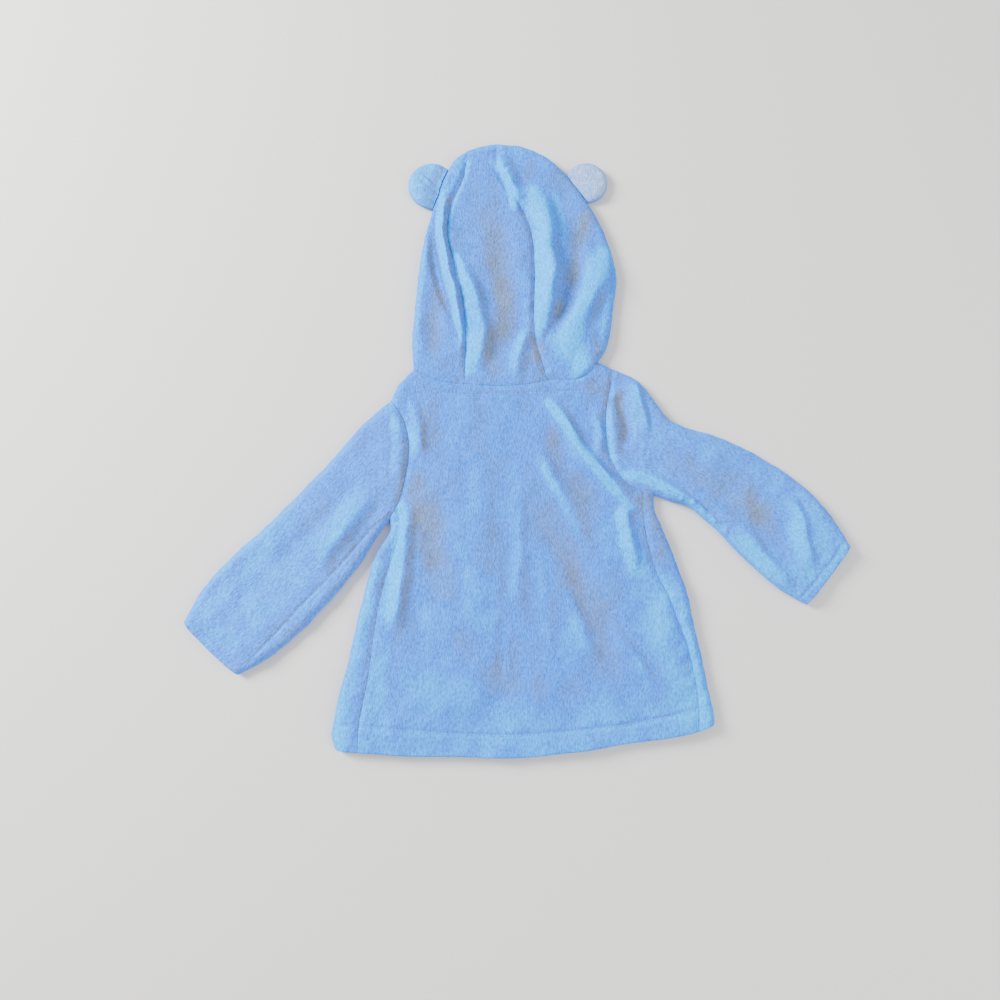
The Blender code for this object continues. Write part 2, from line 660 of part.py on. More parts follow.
def make_hood():
    """The hood: two side panels with a gusset between them, open below for the face."""
    neck, neck_below = trimmed(NECK_BACK, 1), trimmed(NECK_FRONT, 1)
    make_hood_side(
        "hood_left", HOOD_EDGE_LEFT[::-1], neck, neck_below, trimmed(GUSSET_SEAM_LEFT, -1),
        trimmed(GUSSET_UNDER_LEFT, -1), curve(FACE_EDGE_LEFT), True,
    )
    make_hood_side(
        "hood_right", HOOD_EDGE_RIGHT, neck[::-1], neck_below[::-1], trimmed(GUSSET_SEAM_RIGHT, 1),
        trimmed(GUSSET_UNDER_RIGHT, 1), curve(FACE_EDGE_RIGHT), False,
    )
    left, right = trimmed(GUSSET_SEAM_LEFT, 1), trimmed(GUSSET_SEAM_RIGHT, -1)
    under_left, under_right = trimmed(GUSSET_UNDER_LEFT, 1), trimmed(GUSSET_UNDER_RIGHT, -1)
    low_left, low_right = meeting(neck, left), meeting(neck, right)
    edge = fold_edge(HOOD_EDGE_TOP[::-1], TOP_STEPS, right[0], left[0])
    far = spaced(stretch(neck, low_right, low_left), TOP_STEPS)
    rays = (stretch(right, right[0], low_right), stretch(left, left[0], low_left))
    over = fan(edge, *rays, far, True, GUSSET_ROWS)
    brow = spaced(np.array([under_right[-1], under_left[-1]]), TOP_STEPS)
    under = share_fold(fan(edge, under_right, under_left, brow, False, GUSSET_UNDER_ROWS), over)
    upper = Sheet(*over, True).sink(np.s_[0, :], np.s_[-1, :], np.s_[:, -1])
    make_shell("hood_gusset", [upper, Sheet(*under, False)], plush("hood_gusset", BODY_BLUE))


def to_hood(plan, root, away, outline):
    """Draws an ear's points near its root onto the hood's outline, and says how near they are to it.

    The nearness is 1 at the straight root and falls to 0 over EAR_ROOT_FADE.
    """
    side = np.array((-away[1], away[0]))
    line = curve(outline) - root
    line = line[np.argsort(line @ side)]
    line = line[np.abs(line @ away) < 2 * EAR_ROOT_FADE]
    near = 1 - smooth((plan - root) @ away / EAR_ROOT_FADE)
    reach = np.interp((plan - root) @ side, line @ side, line @ away) + EAR_ROOT_GAP
    return plan + away * (reach * near)[..., None], near


def make_ear(name, x, y, radius, base, direction, outline):
    """An ear: a back and a front disc with their rims together. Its root follows the hood's outline."""
    middle = np.array((x, y), float)
    away = np.array((np.cos(np.radians(direction)), np.sin(np.radians(direction))))
    root = middle - base * away
    half = np.degrees(np.arccos(-base / radius))
    round_it = np.radians(direction + np.linspace(-half, half, EAR_ROWS + 1))
    edge = middle + radius * np.column_stack([np.cos(round_it), np.sin(round_it)])
    for side, upper in (("_back", True), ("_front", False)):
        reach = FOLD_REACH if upper else FOLD_HEIGHT
        turn = np.r_[turn_angles(upper), np.pi / 2, np.pi / 2]
        ray = root - edge
        long = np.linalg.norm(ray, axis=1)[:, None]
        out = np.broadcast_to(reach * (1 - np.cos(turn)), (len(edge), len(turn))).copy()
        out[:, -2] = (reach + long[:, 0]) / 2
        out[:, -1] = long[:, 0]
        into = out.copy()
        bent = len(turn) - 2
        into[:, :bent] = CLOTH + (reach - CLOTH) * (1 - np.cos(turn[:bent]))
        grids = [edge[:, None] + ray[:, None] * (part / long)[..., None] for part in (out, into)]
        (outer, near), (inner, _) = (to_hood(plan, root, away, outline) for plan in grids)
        lift = SEAM_GAP / 2 if upper else -SEAM_GAP / 2
        crown = EAR_CROWN - (EAR_CROWN - EAR_ROOT_CROWN) * near
        angle = np.broadcast_to(turn, out.shape)
        sheet = Sheet(outer, inner, angle, upper, fold=FOLD_HEIGHT + lift, crown=crown)
        make_shell(name + side, [sheet], plush(name + side, EAR_BLUE))


def main():
    """Clears the start-up scene and builds every piece."""
    for item in list(bpy.data.objects):
        bpy.data.objects.remove(item, do_unlink=True)
    make_sleeves()
    make_back()
    make_front()
    make_hood()
    for ear in EARS:
        make_ear(*ear)


main()
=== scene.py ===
"""The looks of a toddler's hooded plush pullover with two round ears, laid flat with its back up.

Every piece of cloth is a closed thin wall over its solid: the lower layer lies flat, the upper layer
lies on it, and both meet along the fold lines of the outline. The tables give outline, seams and
folds as they lie, in millimetres: X to the right, Y from hem to hood, Z up from the surface below.
"""

import math
from types import SimpleNamespace

import bpy
import numpy as np
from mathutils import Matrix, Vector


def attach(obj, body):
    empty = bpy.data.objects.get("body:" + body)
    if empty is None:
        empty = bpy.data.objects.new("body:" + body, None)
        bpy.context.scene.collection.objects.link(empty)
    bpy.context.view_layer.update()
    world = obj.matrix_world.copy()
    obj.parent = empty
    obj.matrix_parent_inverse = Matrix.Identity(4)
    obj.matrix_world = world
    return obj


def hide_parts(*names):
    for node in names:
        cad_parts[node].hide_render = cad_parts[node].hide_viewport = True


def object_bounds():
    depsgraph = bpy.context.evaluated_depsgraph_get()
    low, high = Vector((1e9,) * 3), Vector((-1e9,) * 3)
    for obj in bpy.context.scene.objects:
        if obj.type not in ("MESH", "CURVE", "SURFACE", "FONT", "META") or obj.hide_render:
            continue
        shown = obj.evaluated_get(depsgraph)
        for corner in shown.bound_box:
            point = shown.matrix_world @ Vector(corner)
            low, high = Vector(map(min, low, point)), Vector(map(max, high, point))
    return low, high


bl_info = {
    "name": "Plush pullover",
    "version": (1, 0, 0),
    "blender": (4, 5, 0),
    "location": "3D View > Sidebar > Pullover",
    "description": "Makes a hooded plush pullover, laid flat, piece by piece over its solids",
    "category": "Add Mesh",
}

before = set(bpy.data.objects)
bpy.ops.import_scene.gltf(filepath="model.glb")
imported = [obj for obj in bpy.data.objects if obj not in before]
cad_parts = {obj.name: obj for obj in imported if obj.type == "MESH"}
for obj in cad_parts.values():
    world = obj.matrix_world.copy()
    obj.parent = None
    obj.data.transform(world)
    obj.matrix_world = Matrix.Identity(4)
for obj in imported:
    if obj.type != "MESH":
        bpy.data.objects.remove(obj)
CAD_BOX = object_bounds()
SURFACE = CAD_BOX[0].z

MM = 0.001

# Shape of the lying layers, mm
FOLD_HEIGHT = 4.0
FOLD_REACH = 8.0
SEAM_GAP = 0.12
SHOULDER_TURN = 7.5
CROWN_RAY = 28.0
LEAST_AIR = 0.5
EAR_CROWN = 10.5
EAR_ROOT_CROWN = 7.0
EAR_ROOT_GAP = 0.3
EAR_ROOT_FADE = 14.0
HEM_DEPTH = 21.0
HEM_ROLL = 2.0
CUFF_DEPTH = 11.0
TURN_UP_SLOPE = 4.0
BOW_FADE = 3
# How sharply the upper layer stops sinking where it meets the lower one, per mm
STOP_SHARPNESS = 3

# How far the seams draw the cloth in, as shares of the deepest
NECK_DRAWN = 0.45
SLOPE_DRAWN = 0.4
ARMHOLE_DRAWN = 0.8
SIDE_DRAWN = 0.55
GUSSET_DRAWN = 0.9
# How much fainter it is at a seam's ends, and from how far off
SEAM_FADE = 0.6
SEAM_END = 28.0
# How much of a seam's valley is round, and how many of its widths its puckers reach
VALLEY_ROUND = 0.7
PUCKER_REACH = 3

# Steps along curves and of the grid in mm, numbers of steps, and the angles round a fold line
CURVE_STEP = 0.5
LINE_STEP = 2.0
GRID = 1.8
LEAST_STEPS = 4
SHOULDER_STEPS = 14
SLOPE_STEPS = 13
FLAP_STEPS = 12
UNDER_STEPS = 36
UPPER_TURN = (0, 14, 28, 42, 56, 70, 80, 90)
LOWER_TURN = (0, 22, 45, 67, 90)
GRADE = 0.45
RIM_STEPS = 5
EAR_ROWS = 96
EAR_STEPS = 20
STITCH_RINGS = 7
STITCH_SIDES = 6
# Every so many points of a curve are enough to measure distances from
MEASURE_EVERY = int(LINE_STEP / CURVE_STEP)
# What counts as lying flat, as a sine, and as the same point and as on an open edge, mm
ALL_BUT_FLAT = 0.999
WELD = 0.001
OPEN_WIDTH = GRID / 4

# Random gentle surfaces: seed, number of waves, their shortest and longest length in mm, and how
# many times as long they are along Y
LUMP_WAVES = (3, 28, 18.0, 75.0, 1.4)
CLUMP_WAVES = (5, 40, 4.0, 9.0, 1.3)
EDGE_WAVES = (11, 12, 9.0, 40.0)
NAP_WAVES = (13, 30, 14.0, 60.0, 2.0)
WANDER_WAVES = ((21, 24, 24.0, 70.0), (22, 24, 24.0, 70.0))
PUCKER_SEED = 40
PUCKER_WAVES = (9, 7.0, 16.0)
# How far they move the fold lines of the outline and the paths of the folds, mm
WAVER = 0.2
WANDER = 0.8

# How wide and high the folds are against their table, and the share of their length that tapers
FOLD_SPREAD = 1.2
FOLD_SCALE = 1.25
FOLD_TAPER = 0.3
# How many of its half widths a groove reaches
GROOVE_REACH = 3

# The key light's direction, from which the slopes get painted light, how much painted highlight a flank
# of slope 1 facing it gets, how much painted shade one facing away gets, and how much painted highlight
# a fold of 1 mm adds, painted shade where the cloth sinks. The slope's part fades towards the fold
# lines with this power of the rise.
PAINTED_LIGHT_FROM = math.radians(155.0)
PAINTED_HIGHLIGHT_SLOPE = 1.7
PAINTED_SHADE_SLOPE = 2.6
PAINTED_LIGHT_PER_MM = 0.08
PAINTED_SLOPE_FADE = 4
# How far the pile's tone varies at random, and how steep the edges of the patches of painted highlight
# and painted shade are
NAP_RUFFLED = 0.13
PAINTED_PATCH_EDGE = 1.2

# A stitch's middle above the cloth, and how much deeper its ends dip, in its own thickness, and how
# dark the fibres of the thread get
STITCH_LIFT = 0.45
STITCH_DIP = 0.9
THREAD_SHADE = 0.85

# Stage, m: the floor's width, how far it is below the surface, the lamps with their place, width and
# power, the sky's colour and strength, and the camera's target, distance, tilt and field of view
FLOOR_WIDTH = 8.0
FLOOR_GAP = 0.0002
FLOOR_ROUGHNESS = 0.95
LAMPS = (("key", (-1.7, 0.8, 1.0), 0.8, 150.0), ("fill", (1.6, -0.8, 1.1), 2.0, 52.0))
SKY = (0.95, 0.97, 1.0, 1.0)
SKY_STRENGTH = 1.19
CAMERA_TARGET = (-0.020, 0.0, 0.0)
CAMERA_DISTANCE = 0.741
CAMERA_TILT = math.radians(8.0)
CAMERA_FIELD = math.radians(68.0)
SENSOR_WIDTH = 36.0

# Fold lines of the outline: x, y
HOOD_EDGE_LEFT = (
    (-108, 133), (-110, 160), (-108, 190), (-105, 228), (-101, 262), (-95, 291),
    (-86, 321), (-77, 347), (-67, 364), (-54, 374),
)
HOOD_EDGE_TOP = ((-54, 374), (-40, 379), (-23, 382))
HOOD_EDGE_RIGHT = (
    (79, 141), (86, 150), (93, 171), (97, 200), (101, 233), (95, 262), (86, 288), (74, 311),
    (61, 331), (46, 351), (28, 367), (8, 377), (-23, 382),
)
SHOULDER_LEFT = ((-108, 133), (-122, 118), (-130, 101))
SHOULDER_RIGHT = ((79, 141), (86, 138), (94, 134))
SLEEVE_LEFT_UPPER = (
    (-130, 101), (-153, 81), (-188, 40), (-221, 4), (-252, -28), (-282, -56), (-311, -90), (-327, -121),
)
SLEEVE_LEFT_LOWER = (
    (-129, -21), (-136, -30), (-144, -42), (-156, -62), (-172, -83), (-191, -106), (-212, -128),
    (-232, -146), (-252, -160), (-273, -171),
)
SLEEVE_RIGHT_UPPER = (
    (94, 134), (104, 130), (119, 122), (136, 101), (152, 80), (170, 72), (194, 65), (227, 50),
    (268, 24), (289, 6), (311, -22), (325, -47),
)
SLEEVE_RIGHT_LOWER = (
    (133, 4), (142, 1), (152, -3), (164, -6), (183, -21), (199, -36), (219, -58), (236, -74),
    (255, -90), (279, -104),
)
BODY_EDGE_LEFT = (
    (-176, -241), (-180, -226), (-178, -211), (-174, -188), (-168, -165), (-162, -137),
    (-156, -108), (-150, -83), (-144, -60), (-134, -41), (-128, -30), (-129, -21),
)
BODY_EDGE_RIGHT = (
    (185, -217), (183, -199), (180, -186), (176, -160), (168, -121), (163, -94), (156, -72),
    (147, -46), (138, -24), (133, -9), (133, 4),
)

# Cut edges: x, y
HEM = (
    (-176, -241), (-145, -243), (-100, -246), (-58, -246), (-29, -247), (0, -247), (39, -243),
    (66, -240), (94, -235), (140, -229), (165, -224), (185, -217),
)
CUFF_LEFT = ((-327, -121), (-301, -147), (-273, -171))
CUFF_RIGHT = ((325, -47), (303, -76), (279, -104))
FACE_EDGE_LEFT = ((-46, 330), (-57, 290), (-60, 250), (-52, 200), (-36, 150), (-17, 104))
FACE_EDGE_RIGHT = ((-20, 332), (10, 292), (22, 250), (18, 200), (6, 150), (-11, 104))

# Seams, with their topmost or outermost point first: x, y
NECK_BACK = (
    (-108, 133), (-97, 127), (-82, 121), (-67, 118), (-48, 117), (-20, 115), (8, 117), (31, 122),
    (61, 123), (69, 127), (79, 141),
)
NECK_FRONT = (
    (-108, 133), (-97, 127), (-80, 115), (-50, 102), (-14, 98), (25, 102), (55, 115), (70, 128),
    (79, 141),
)
SHOULDER_SEAM = ((69, 127), (80, 116), (91, 108))
ARMHOLE_LEFT = ((-130, 101), (-117, 81), (-111, 58), (-113, 27), (-119, 0), (-129, -21))
ARMHOLE_RIGHT = (
    (94, 134), (91, 112), (87, 90), (86, 66), (89, 45), (96, 28), (105, 17), (117, 9), (133, 4),
)
SIDE_SEAM_LEFT = (
    (-122, -7), (-119, -22), (-121, -42), (-128, -66), (-135, -92), (-141, -128), (-146, -171),
    (-151, -200), (-154, -218), (-154, -243),
)
SIDE_SEAM_RIGHT = (
    (121, 7), (121, -12), (123, -33), (126, -51), (133, -73), (144, -96), (151, -116), (161, -145),
    (165, -166), (169, -212), (168, -223),
)
GUSSET_SEAM_LEFT = (
    (-54, 374), (-55, 362), (-57, 347), (-63, 330), (-70, 314), (-74, 297), (-75, 280), (-72, 262),
    (-66, 243), (-60, 216), (-56, 188), (-55, 160), (-56, 117),
)
GUSSET_SEAM_RIGHT = (
    (-23, 382), (-24, 370), (-23, 353), (-15, 334), (-3, 315), (8, 296), (14, 272), (16, 240),
    (15, 188), (17, 160), (22, 143), (28, 121),
)
GUSSET_UNDER_LEFT = ((-54, 374), (-55, 362), (-53, 346), (-46, 330))
GUSSET_UNDER_RIGHT = ((-23, 382), (-24, 370), (-23, 352), (-20, 332))

# Ears: name, middle and radius of the round part, its distance from the root, the direction in which
# it sticks out from the hood, in degrees, the fold line of the hood that its root follows, and its
# painted light: painted highlight above 0, painted shade below 0
EARS = (
    ("ear_left", -91.9, 334.2, 25.0, 8.8, 158.0, HOOD_EDGE_LEFT[::-1], 0.9),
    ("ear_right", 71.3, 337.5, 22.0, 12.0, 34.0, HOOD_EDGE_RIGHT, -1.3),
)
# Sleeves and side panels of the hood, each with its side, -1 for the left and 1 for the right. A
# sleeve has its left and its right fold line, its armhole, its cuff and the direction of its nap. A
# panel has its fold line, its seam over and under the hood and its edge of the face.
SLEEVES = (
    (
        "sleeve_left", -1, SLEEVE_LEFT_UPPER, SLEEVE_LEFT_LOWER, ARMHOLE_LEFT, CUFF_LEFT,
        math.radians(-43.0),
    ),
    (
        "sleeve_right", 1, SLEEVE_RIGHT_LOWER, SLEEVE_RIGHT_UPPER, ARMHOLE_RIGHT, CUFF_RIGHT,
        math.radians(52.0),
    ),
)
HOOD_SIDES = (
    ("hood_left", -1, HOOD_EDGE_LEFT[::-1], GUSSET_SEAM_LEFT, GUSSET_UNDER_LEFT, FACE_EDGE_LEFT),
    ("hood_right", 1, HOOD_EDGE_RIGHT, GUSSET_SEAM_RIGHT, GUSSET_UNDER_RIGHT, FACE_EDGE_RIGHT),
)

# Folds of the upper layer, mm: width to the left and to the right of the path, height, shape of the
# crest (2 is round, less is sharper) and the path's points
FOLDS = (
    # hood
    (5, 6, 3.8, 1.5, (
        (-70, 340), (-79, 306), (-80, 281), (-76, 253), (-68, 224), (-63, 199), (-58, 168), (-60, 132),
    )),
    (8, 5, -2.2, 1.5, (
        (-76, 330), (-89, 300), (-91, 264), (-86, 230), (-76, 204), (-70, 180), (-70, 160),
    )),
    (9, 13, 4.6, 1.7, ((-64, 264), (-54, 233), (-45, 210), (-39, 186), (-38, 154), (-38, 118))),
    (20, 16, -2.4, 2.0, ((-28, 320), (-20, 255), (-12, 222), (-10, 186), (-20, 150), (-24, 122))),
    (9, 10, 3.4, 1.5, ((9, 180), (2, 154), (-4, 122))),
    (14, 8, 4.4, 1.6, ((-30, 372), (-18, 352), (-8, 332), (-1, 312), (3, 296))),
    (14, 12, 8.4, 1.8, ((9, 342), (22, 308), (31, 270), (32, 228), (29, 194), (22, 160))),
    (12, 12, -2.8, 1.8, ((60, 300), (60, 263), (56, 233), (50, 206), (39, 181), (25, 158))),
    (14, 22, 5.4, 1.7, ((93, 264), (84, 231), (70, 200), (55, 170), (48, 128))),
    (12, 12, 2.4, 2.0, ((72, 186), (69, 160), (66, 116))),
    (12, 12, -2.0, 2.0, ((-88, 212), (-87, 180), (-84, 134))),
    (14, 14, 1.6, 2.0, ((-95, 300), (-100, 250), (-101, 170))),
    # left ear
    (3, 3, 1.6, 1.8, ((-86, 322), (-97, 328), (-109, 332))),
    (3, 3, 1.3, 1.8, ((-88, 330), (-98, 338), (-106, 345))),
    (3, 3, 1.2, 1.8, ((-88, 315), (-98, 317), (-107, 318))),
    # back of the body
    (8, 15, 5.8, 1.4, ((30, 108), (39, 92), (47, 77), (60, 54), (76, 32), (95, 15), (119, -4))),
    (14, 14, -2.4, 1.9, ((26, 70), (43, 40), (62, 14), (86, -20))),
    (8, 12, 2.6, 1.4, ((13, 58), (24, 36), (39, 12), (53, -12), (68, -44))),
    (8, 9, 4.2, 1.6, ((102, 0), (107, -36), (115, -72))),
    (9, 12, 4.2, 1.6, ((-109, 4), (-111, -45), (-115, -80), (-123, -144))),
    (20, 20, -2.4, 2.0, ((-92, 8), (-82, -35), (-66, -88))),
    (18, 18, -2.6, 1.9, ((26, 0), (50, -56), (74, -110), (100, -158))),
    (7, 9, 2.2, 1.5, ((46, -86), (57, -118), (66, -143), (82, -168))),
    (7, 9, 2.6, 1.6, ((83, -114), (95, -136), (110, -152), (129, -180))),
    (6, 6, -1.0, 1.7, ((-20, -112), (-18, -145), (-19, -182))),
    (4, 4, 0.7, 1.8, ((4, 14), (1, -46), (-3, -112))),
    (4, 5, 0.6, 1.8, ((-22, -14), (-21, -80), (-26, -150))),
    (4, 4, 0.6, 1.8, ((20, -40), (24, -100), (32, -172))),
    (14, 14, -1.6, 2.0, ((-20, -150), (-8, -175), (2, -202))),
    (44, 44, 1.8, 2.0, ((-62, 70), (-58, -60), (-50, -222))),
    (22, 22, 1.6, 2.0, ((-140, -150), (-92, -176), (-30, -208))),
    (10, 10, 1.5, 2.0, ((-4, 44), (0, -40), (-2, -128))),
    (14, 14, 1.2, 2.0, ((-42, 60), (-38, -20), (-44, -120))),
    (16, 16, 1.6, 2.0, ((130, -90), (142, -150), (148, -216))),
    # shoulders
    (8, 6, -2.6, 1.8, ((101, 112), (104, 84), (107, 54))),
    (6, 12, 3.4, 1.6, ((114, 126), (122, 96), (126, 58))),
    (7, 6, 2.2, 1.7, ((91, 98), (93, 70), (99, 38))),
    (6, 7, 1.6, 1.6, ((78, 100), (79, 66), (80, 32))),
    (6, 9, 2.6, 1.6, ((-112, 106), (-100, 76), (-98, 36))),
    (8, 8, 1.6, 2.0, ((-126, 90), (-121, 55), (-123, 10))),
    # right sleeve
    (7, 12, 4.4, 1.5, ((106, 24), (132, 20), (150, 9), (166, -4), (183, -19), (203, -40))),
    (3, 3, 1.3, 1.8, ((154, -7), (161, 3))),
    (3, 4, 1.5, 1.8, ((165, -12), (173, -1))),
    (4, 3, 1.2, 1.8, ((175, -21), (183, -10))),
    (3, 4, 1.4, 1.8, ((187, -30), (193, -20))),
    (4, 3, 1.1, 1.8, ((197, -42), (206, -30))),
    (20, 16, -2.6, 2.0, ((168, 24), (203, 4), (226, -8), (246, -24), (260, -42), (272, -72))),
    (7, 11, 3.4, 1.6, ((268, 8), (276, -20), (280, -46), (285, -70))),
    (9, 12, 3.6, 1.6, ((216, -20), (230, -46), (246, -68), (266, -90))),
    (24, 24, 2.4, 2.0, ((120, 80), (170, 50), (222, 22))),
    (9, 9, 0.8, 1.8, ((290, -6), (302, -36), (304, -70))),
    # left sleeve
    (11, 20, 3.8, 1.7, ((-136, 14), (-168, -26), (-206, -76))),
    (16, 16, 1.8, 2.0, ((-160, 50), (-215, -14), (-262, -62))),
    (13, 13, 0.9, 2.0, ((-272, -78), (-290, -108), (-298, -136))),
)
# Patches of painted highlight, above 0, and of greyer painted shade, below 0: half width in mm, how
# strongly, and the path's points
PAINTED_LIGHT_PATCHES = (
    # body
    (26, -0.78, ((-101, 6), (-91, -26), (-82, -56), (-73, -86))),
    (22, -0.42, ((34, 62), (51, 28), (69, -4))),
    (35, -0.42, ((38, -12), (50, -46), (67, -90), (90, -144))),
    (32, -0.3, ((-48, -148), (-20, -167), (2, -188))),
    (44, -0.25, ((-92, 66), (-77, 8), (-46, -46))),
    (13, -0.66, ((124, 4), (131, -26), (139, -66))),
    (16, -0.45, ((66, 117), (84, 108), (94, 96))),
    (10, 1.2, ((-117, -8), (-121, -46), (-124, -75), (-128, -112))),
    (10, 0.6, ((-130, -140), (-138, -184), (-145, -216))),
    (6, 2.0, ((28, 98), (50, 67), (69, 39), (89, 13), (109, -9))),
    (6, 0.7, ((23, 34), (39, 0), (57, -38))),
    (15, 1.25, ((100, -18), (107, -44), (115, -68))),
    (6, 1, ((81, 76), (86, 58), (93, 40))),
    (29, 0.35, ((-100, -184), (-58, -191), (-12, -206))),
    (13, 1.0, ((-142, -66), (-153, -109), (-163, -156), (-170, -193), (-174, -234))),
    (6, 0.35, ((48, -92), (57, -113), (70, -138))),
    (34, 0.8, ((128, -84), (148, -137), (164, -200))),
    (22, 0.25, ((-66, -56), (-44, -99), (-30, -142))),
    (60, 0.5, ((-170, -238), (-60, -242), (40, -238), (182, -216))),
    (30, 0.5, ((172, -110), (184, -200))),
    # shoulders
    (9, -0.81, ((102, 106), (103, 84), (106, 64))),
    (8, 0.7, ((120, 112), (127, 88), (130, 70))),
    (7, 0.8, ((-129, 97), (-124, 74), (-110, 66), (-102, 40))),
    # sleeves
    (24, -0.45, ((150, 38), (178, 28), (217, 8), (238, -14))),
    (14, -0.55, ((230, -6), (246, -27), (260, -49), (266, -61))),
    (30, 0.3, ((190, 58), (238, 36), (275, 8), (306, -24))),
    (7, 1.3, ((104, 25), (128, 17), (150, 7), (168, -5), (184, -19), (196, -31))),
    (13, 1.2, ((212, -42), (224, -53), (238, -67))),
    (6, 0.8, ((272, -12), (277, -46), (284, -80))),
    (11, 0.6, ((-146, -4), (-172, -31), (-190, -52))),
    (60, 0.5, ((-245, -70), (-296, -125))),
    (29, -0.15, ((-298, -96), (-265, -142))),
    (50, 0.8, ((266, -50), (304, -66))),
    (18, 0.7, ((246, -76), (268, -98))),
    # hood
    (15, 1.4, ((12, 322), (26, 287), (25, 248), (26, 216), (29, 192), (27, 168))),
    (13, 1.1, ((-22, 352), (-14, 338), (-6, 322), (-2, 310))),
    (11, 0.9, ((-57, 356), (-69, 327))),
    (6, 0.8, ((-82, 322), (-82, 270), (-76, 238), (-67, 206))),
    (6, 0.9, ((-66, 256), (-56, 227), (-43, 202))),
    (10, 1.1, ((-63, 190), (-55, 169), (-47, 152), (-50, 132))),
    (15, 1.1, ((84, 254), (76, 221), (66, 192), (52, 162))),
    (24, 0.9, ((54, 162), (60, 134))),
    (12, -1.1, ((68, 296), (62, 251), (56, 216), (41, 186), (24, 163), (17, 146))),
    (26, -0.3, ((-30, 300), (-22, 250), (-14, 215))),
    (19, -0.6, ((-15, 222), (-12, 200), (-17, 170), (-21, 132))),
    (13, -0.68, ((-83, 210), (-84, 173), (-81, 140))),
    (26, -0.2, ((24, 356), (51, 321), (74, 288))),
    (30, 0.5, ((-70, 372), (-20, 384), (30, 372))),
    (30, 0.5, ((-112, 300), (-116, 240), (-116, 170))),
    (34, -0.28, ((-33, 345), (-33, 298), (-24, 250))),
    (6, -0.6, ((9, 342), (7, 319), (3, 298))),
    (6, 0.9, ((-75, 306), (-76, 281), (-71, 253), (-63, 224), (-58, 199), (-54, 168), (-55, 140))),
    (15, 0.2, ((2, 166), (-4, 132))),
    (12, 1.1, ((36, 316), (43, 278), (45, 240), (43, 206))),
    (17, 1.0, ((94, 256), (97, 209), (90, 172))),
)

# Grooves of seams and stitch lines in the upper layer, mm: half width, depth and the path's points
GROOVES = (
    # underarm seam of the left sleeve
    (2.6, 0.8, ((-126, -14), (-147, -31), (-165, -53), (-201, -93), (-236, -131), (-262, -160))),
    # topstitching under the neck seam
    (3.0, 0.9, ((-112, 122), (-96, 114), (-79, 108), (-40, 106), (22, 108), (54, 109), (92, 106))),
    # hem
    (3.2, 1.0, (
        (-178, -216), (-148, -218), (-101, -222), (-18, -226), (59, -221), (112, -214), (179, -200),
    )),
    # cuffs
    (2.8, 0.9, ((-321, -112), (-294, -139), (-266, -163))),
    (2.8, 0.9, ((318, -42), (297, -70), (272, -97))),
    # sharp creases of the hood
    (1.7, 1.0, ((31, 304), (39, 283), (43, 252), (41, 223), (36, 193), (25, 160))),
    (1.5, 0.9, ((-84, 318), (-87, 303), (-88, 281), (-82, 243), (-67, 184), (-60, 160))),
)
# The rows of stitches, each with the number of its groove
STITCHED = (
    ("neck_stitches", 1), ("hem_stitches", 2), ("cuff_left_stitches", 3), ("cuff_right_stitches", 4),
)


def lengths(points):
    """Length along a polyline up to each of its points."""
    return np.r_[0.0, np.cumsum(np.linalg.norm(np.diff(points, axis=0), axis=1))]


def curve(table, step=CURVE_STEP):
    """A cubic curve through the points of a table, as points about a step apart."""
    knots = np.array(table, float)
    marks = lengths(knots)
    slopes = np.gradient(knots, marks, axis=0)
    at = np.linspace(0.0, marks[-1], int(marks[-1] / step) + 2)
    span = np.clip(np.searchsorted(marks, at, side="right") - 1, 0, len(knots) - 2)
    width = (marks[span + 1] - marks[span])[:, None]
    t = (at - marks[span])[:, None] / width
    start = (1 + 2 * t) * (1 - t) ** 2 * knots[span] + t * (1 - t) ** 2 * width * slopes[span]
    end = t * t * (3 - 2 * t) * knots[span + 1] + t * t * (t - 1) * width * slopes[span + 1]
    return start + end


def at_lengths(points, marks):
    """The points of a polyline at given lengths along it."""
    along = lengths(points)
    return np.column_stack([np.interp(marks, along, values) for values in points.T])


def coarse(line):
    """A curve in steps that are still fine enough to measure distances from."""
    return line[::MEASURE_EVERY]


def graded(count):
    """Fractions from 0 to 1 in count steps, closer together at both ends."""
    t = np.linspace(0.0, 1.0, count + 1)
    return t - GRADE * np.sin(2 * np.pi * t) / (2 * np.pi)


def spaced(points, count, start=0.0, end=0.0):
    """count graded steps, from start after a polyline's first point to end before its last."""
    return at_lengths(points, start + (lengths(points)[-1] - end - start) * graded(count))


def steps_of(points):
    """How many steps of the grid a polyline takes."""
    return max(LEAST_STEPS, round(lengths(points)[-1] / GRID))


def side_steps(points):
    """Unit vectors to the left of a polyline's direction, one at each point."""
    along = np.gradient(points, axis=0)
    along /= np.linalg.norm(along, axis=1)[:, None]
    return np.column_stack([-along[:, 1], along[:, 0]])


def moved(points, distance):
    """A polyline moved to the left of its own direction."""
    return points + side_steps(points) * distance


def nearest(points, place):
    """The index of a polyline's point nearest to a place."""
    return int(np.argmin(np.linalg.norm(points - place, axis=1)))


def meeting(one, other):
    """The point where two polylines cross, from the lines through their nearest points."""
    apart = np.linalg.norm(one[:, None] - other[None], axis=2)
    i, j = np.unravel_index(np.argmin(apart), apart.shape)
    way, way_other = np.gradient(one, axis=0)[i], np.gradient(other, axis=0)[j]
    along, _ = np.linalg.solve(np.column_stack([way, -way_other]), other[j] - one[i])
    return one[i] + way * along


def stretch(points, start, end):
    """The part of a polyline from one place to another, in that direction, with those as its ends."""
    first, last = nearest(points, start), nearest(points, end)
    part = points[first : last + 1] if first <= last else points[last : first + 1][::-1]
    part = part.copy()
    part[0], part[-1] = start, end
    return part


def joined(*parts):
    """Polylines one after another as one, with each shared point kept once."""
    return np.vstack([parts[0]] + [p[1:] for p in parts[1:]])


def bow(points, v):
    """How far a curve bends away from the straight line between its ends, at fractions v along it."""
    return points - (1 - v) * points[0] - v * points[-1]


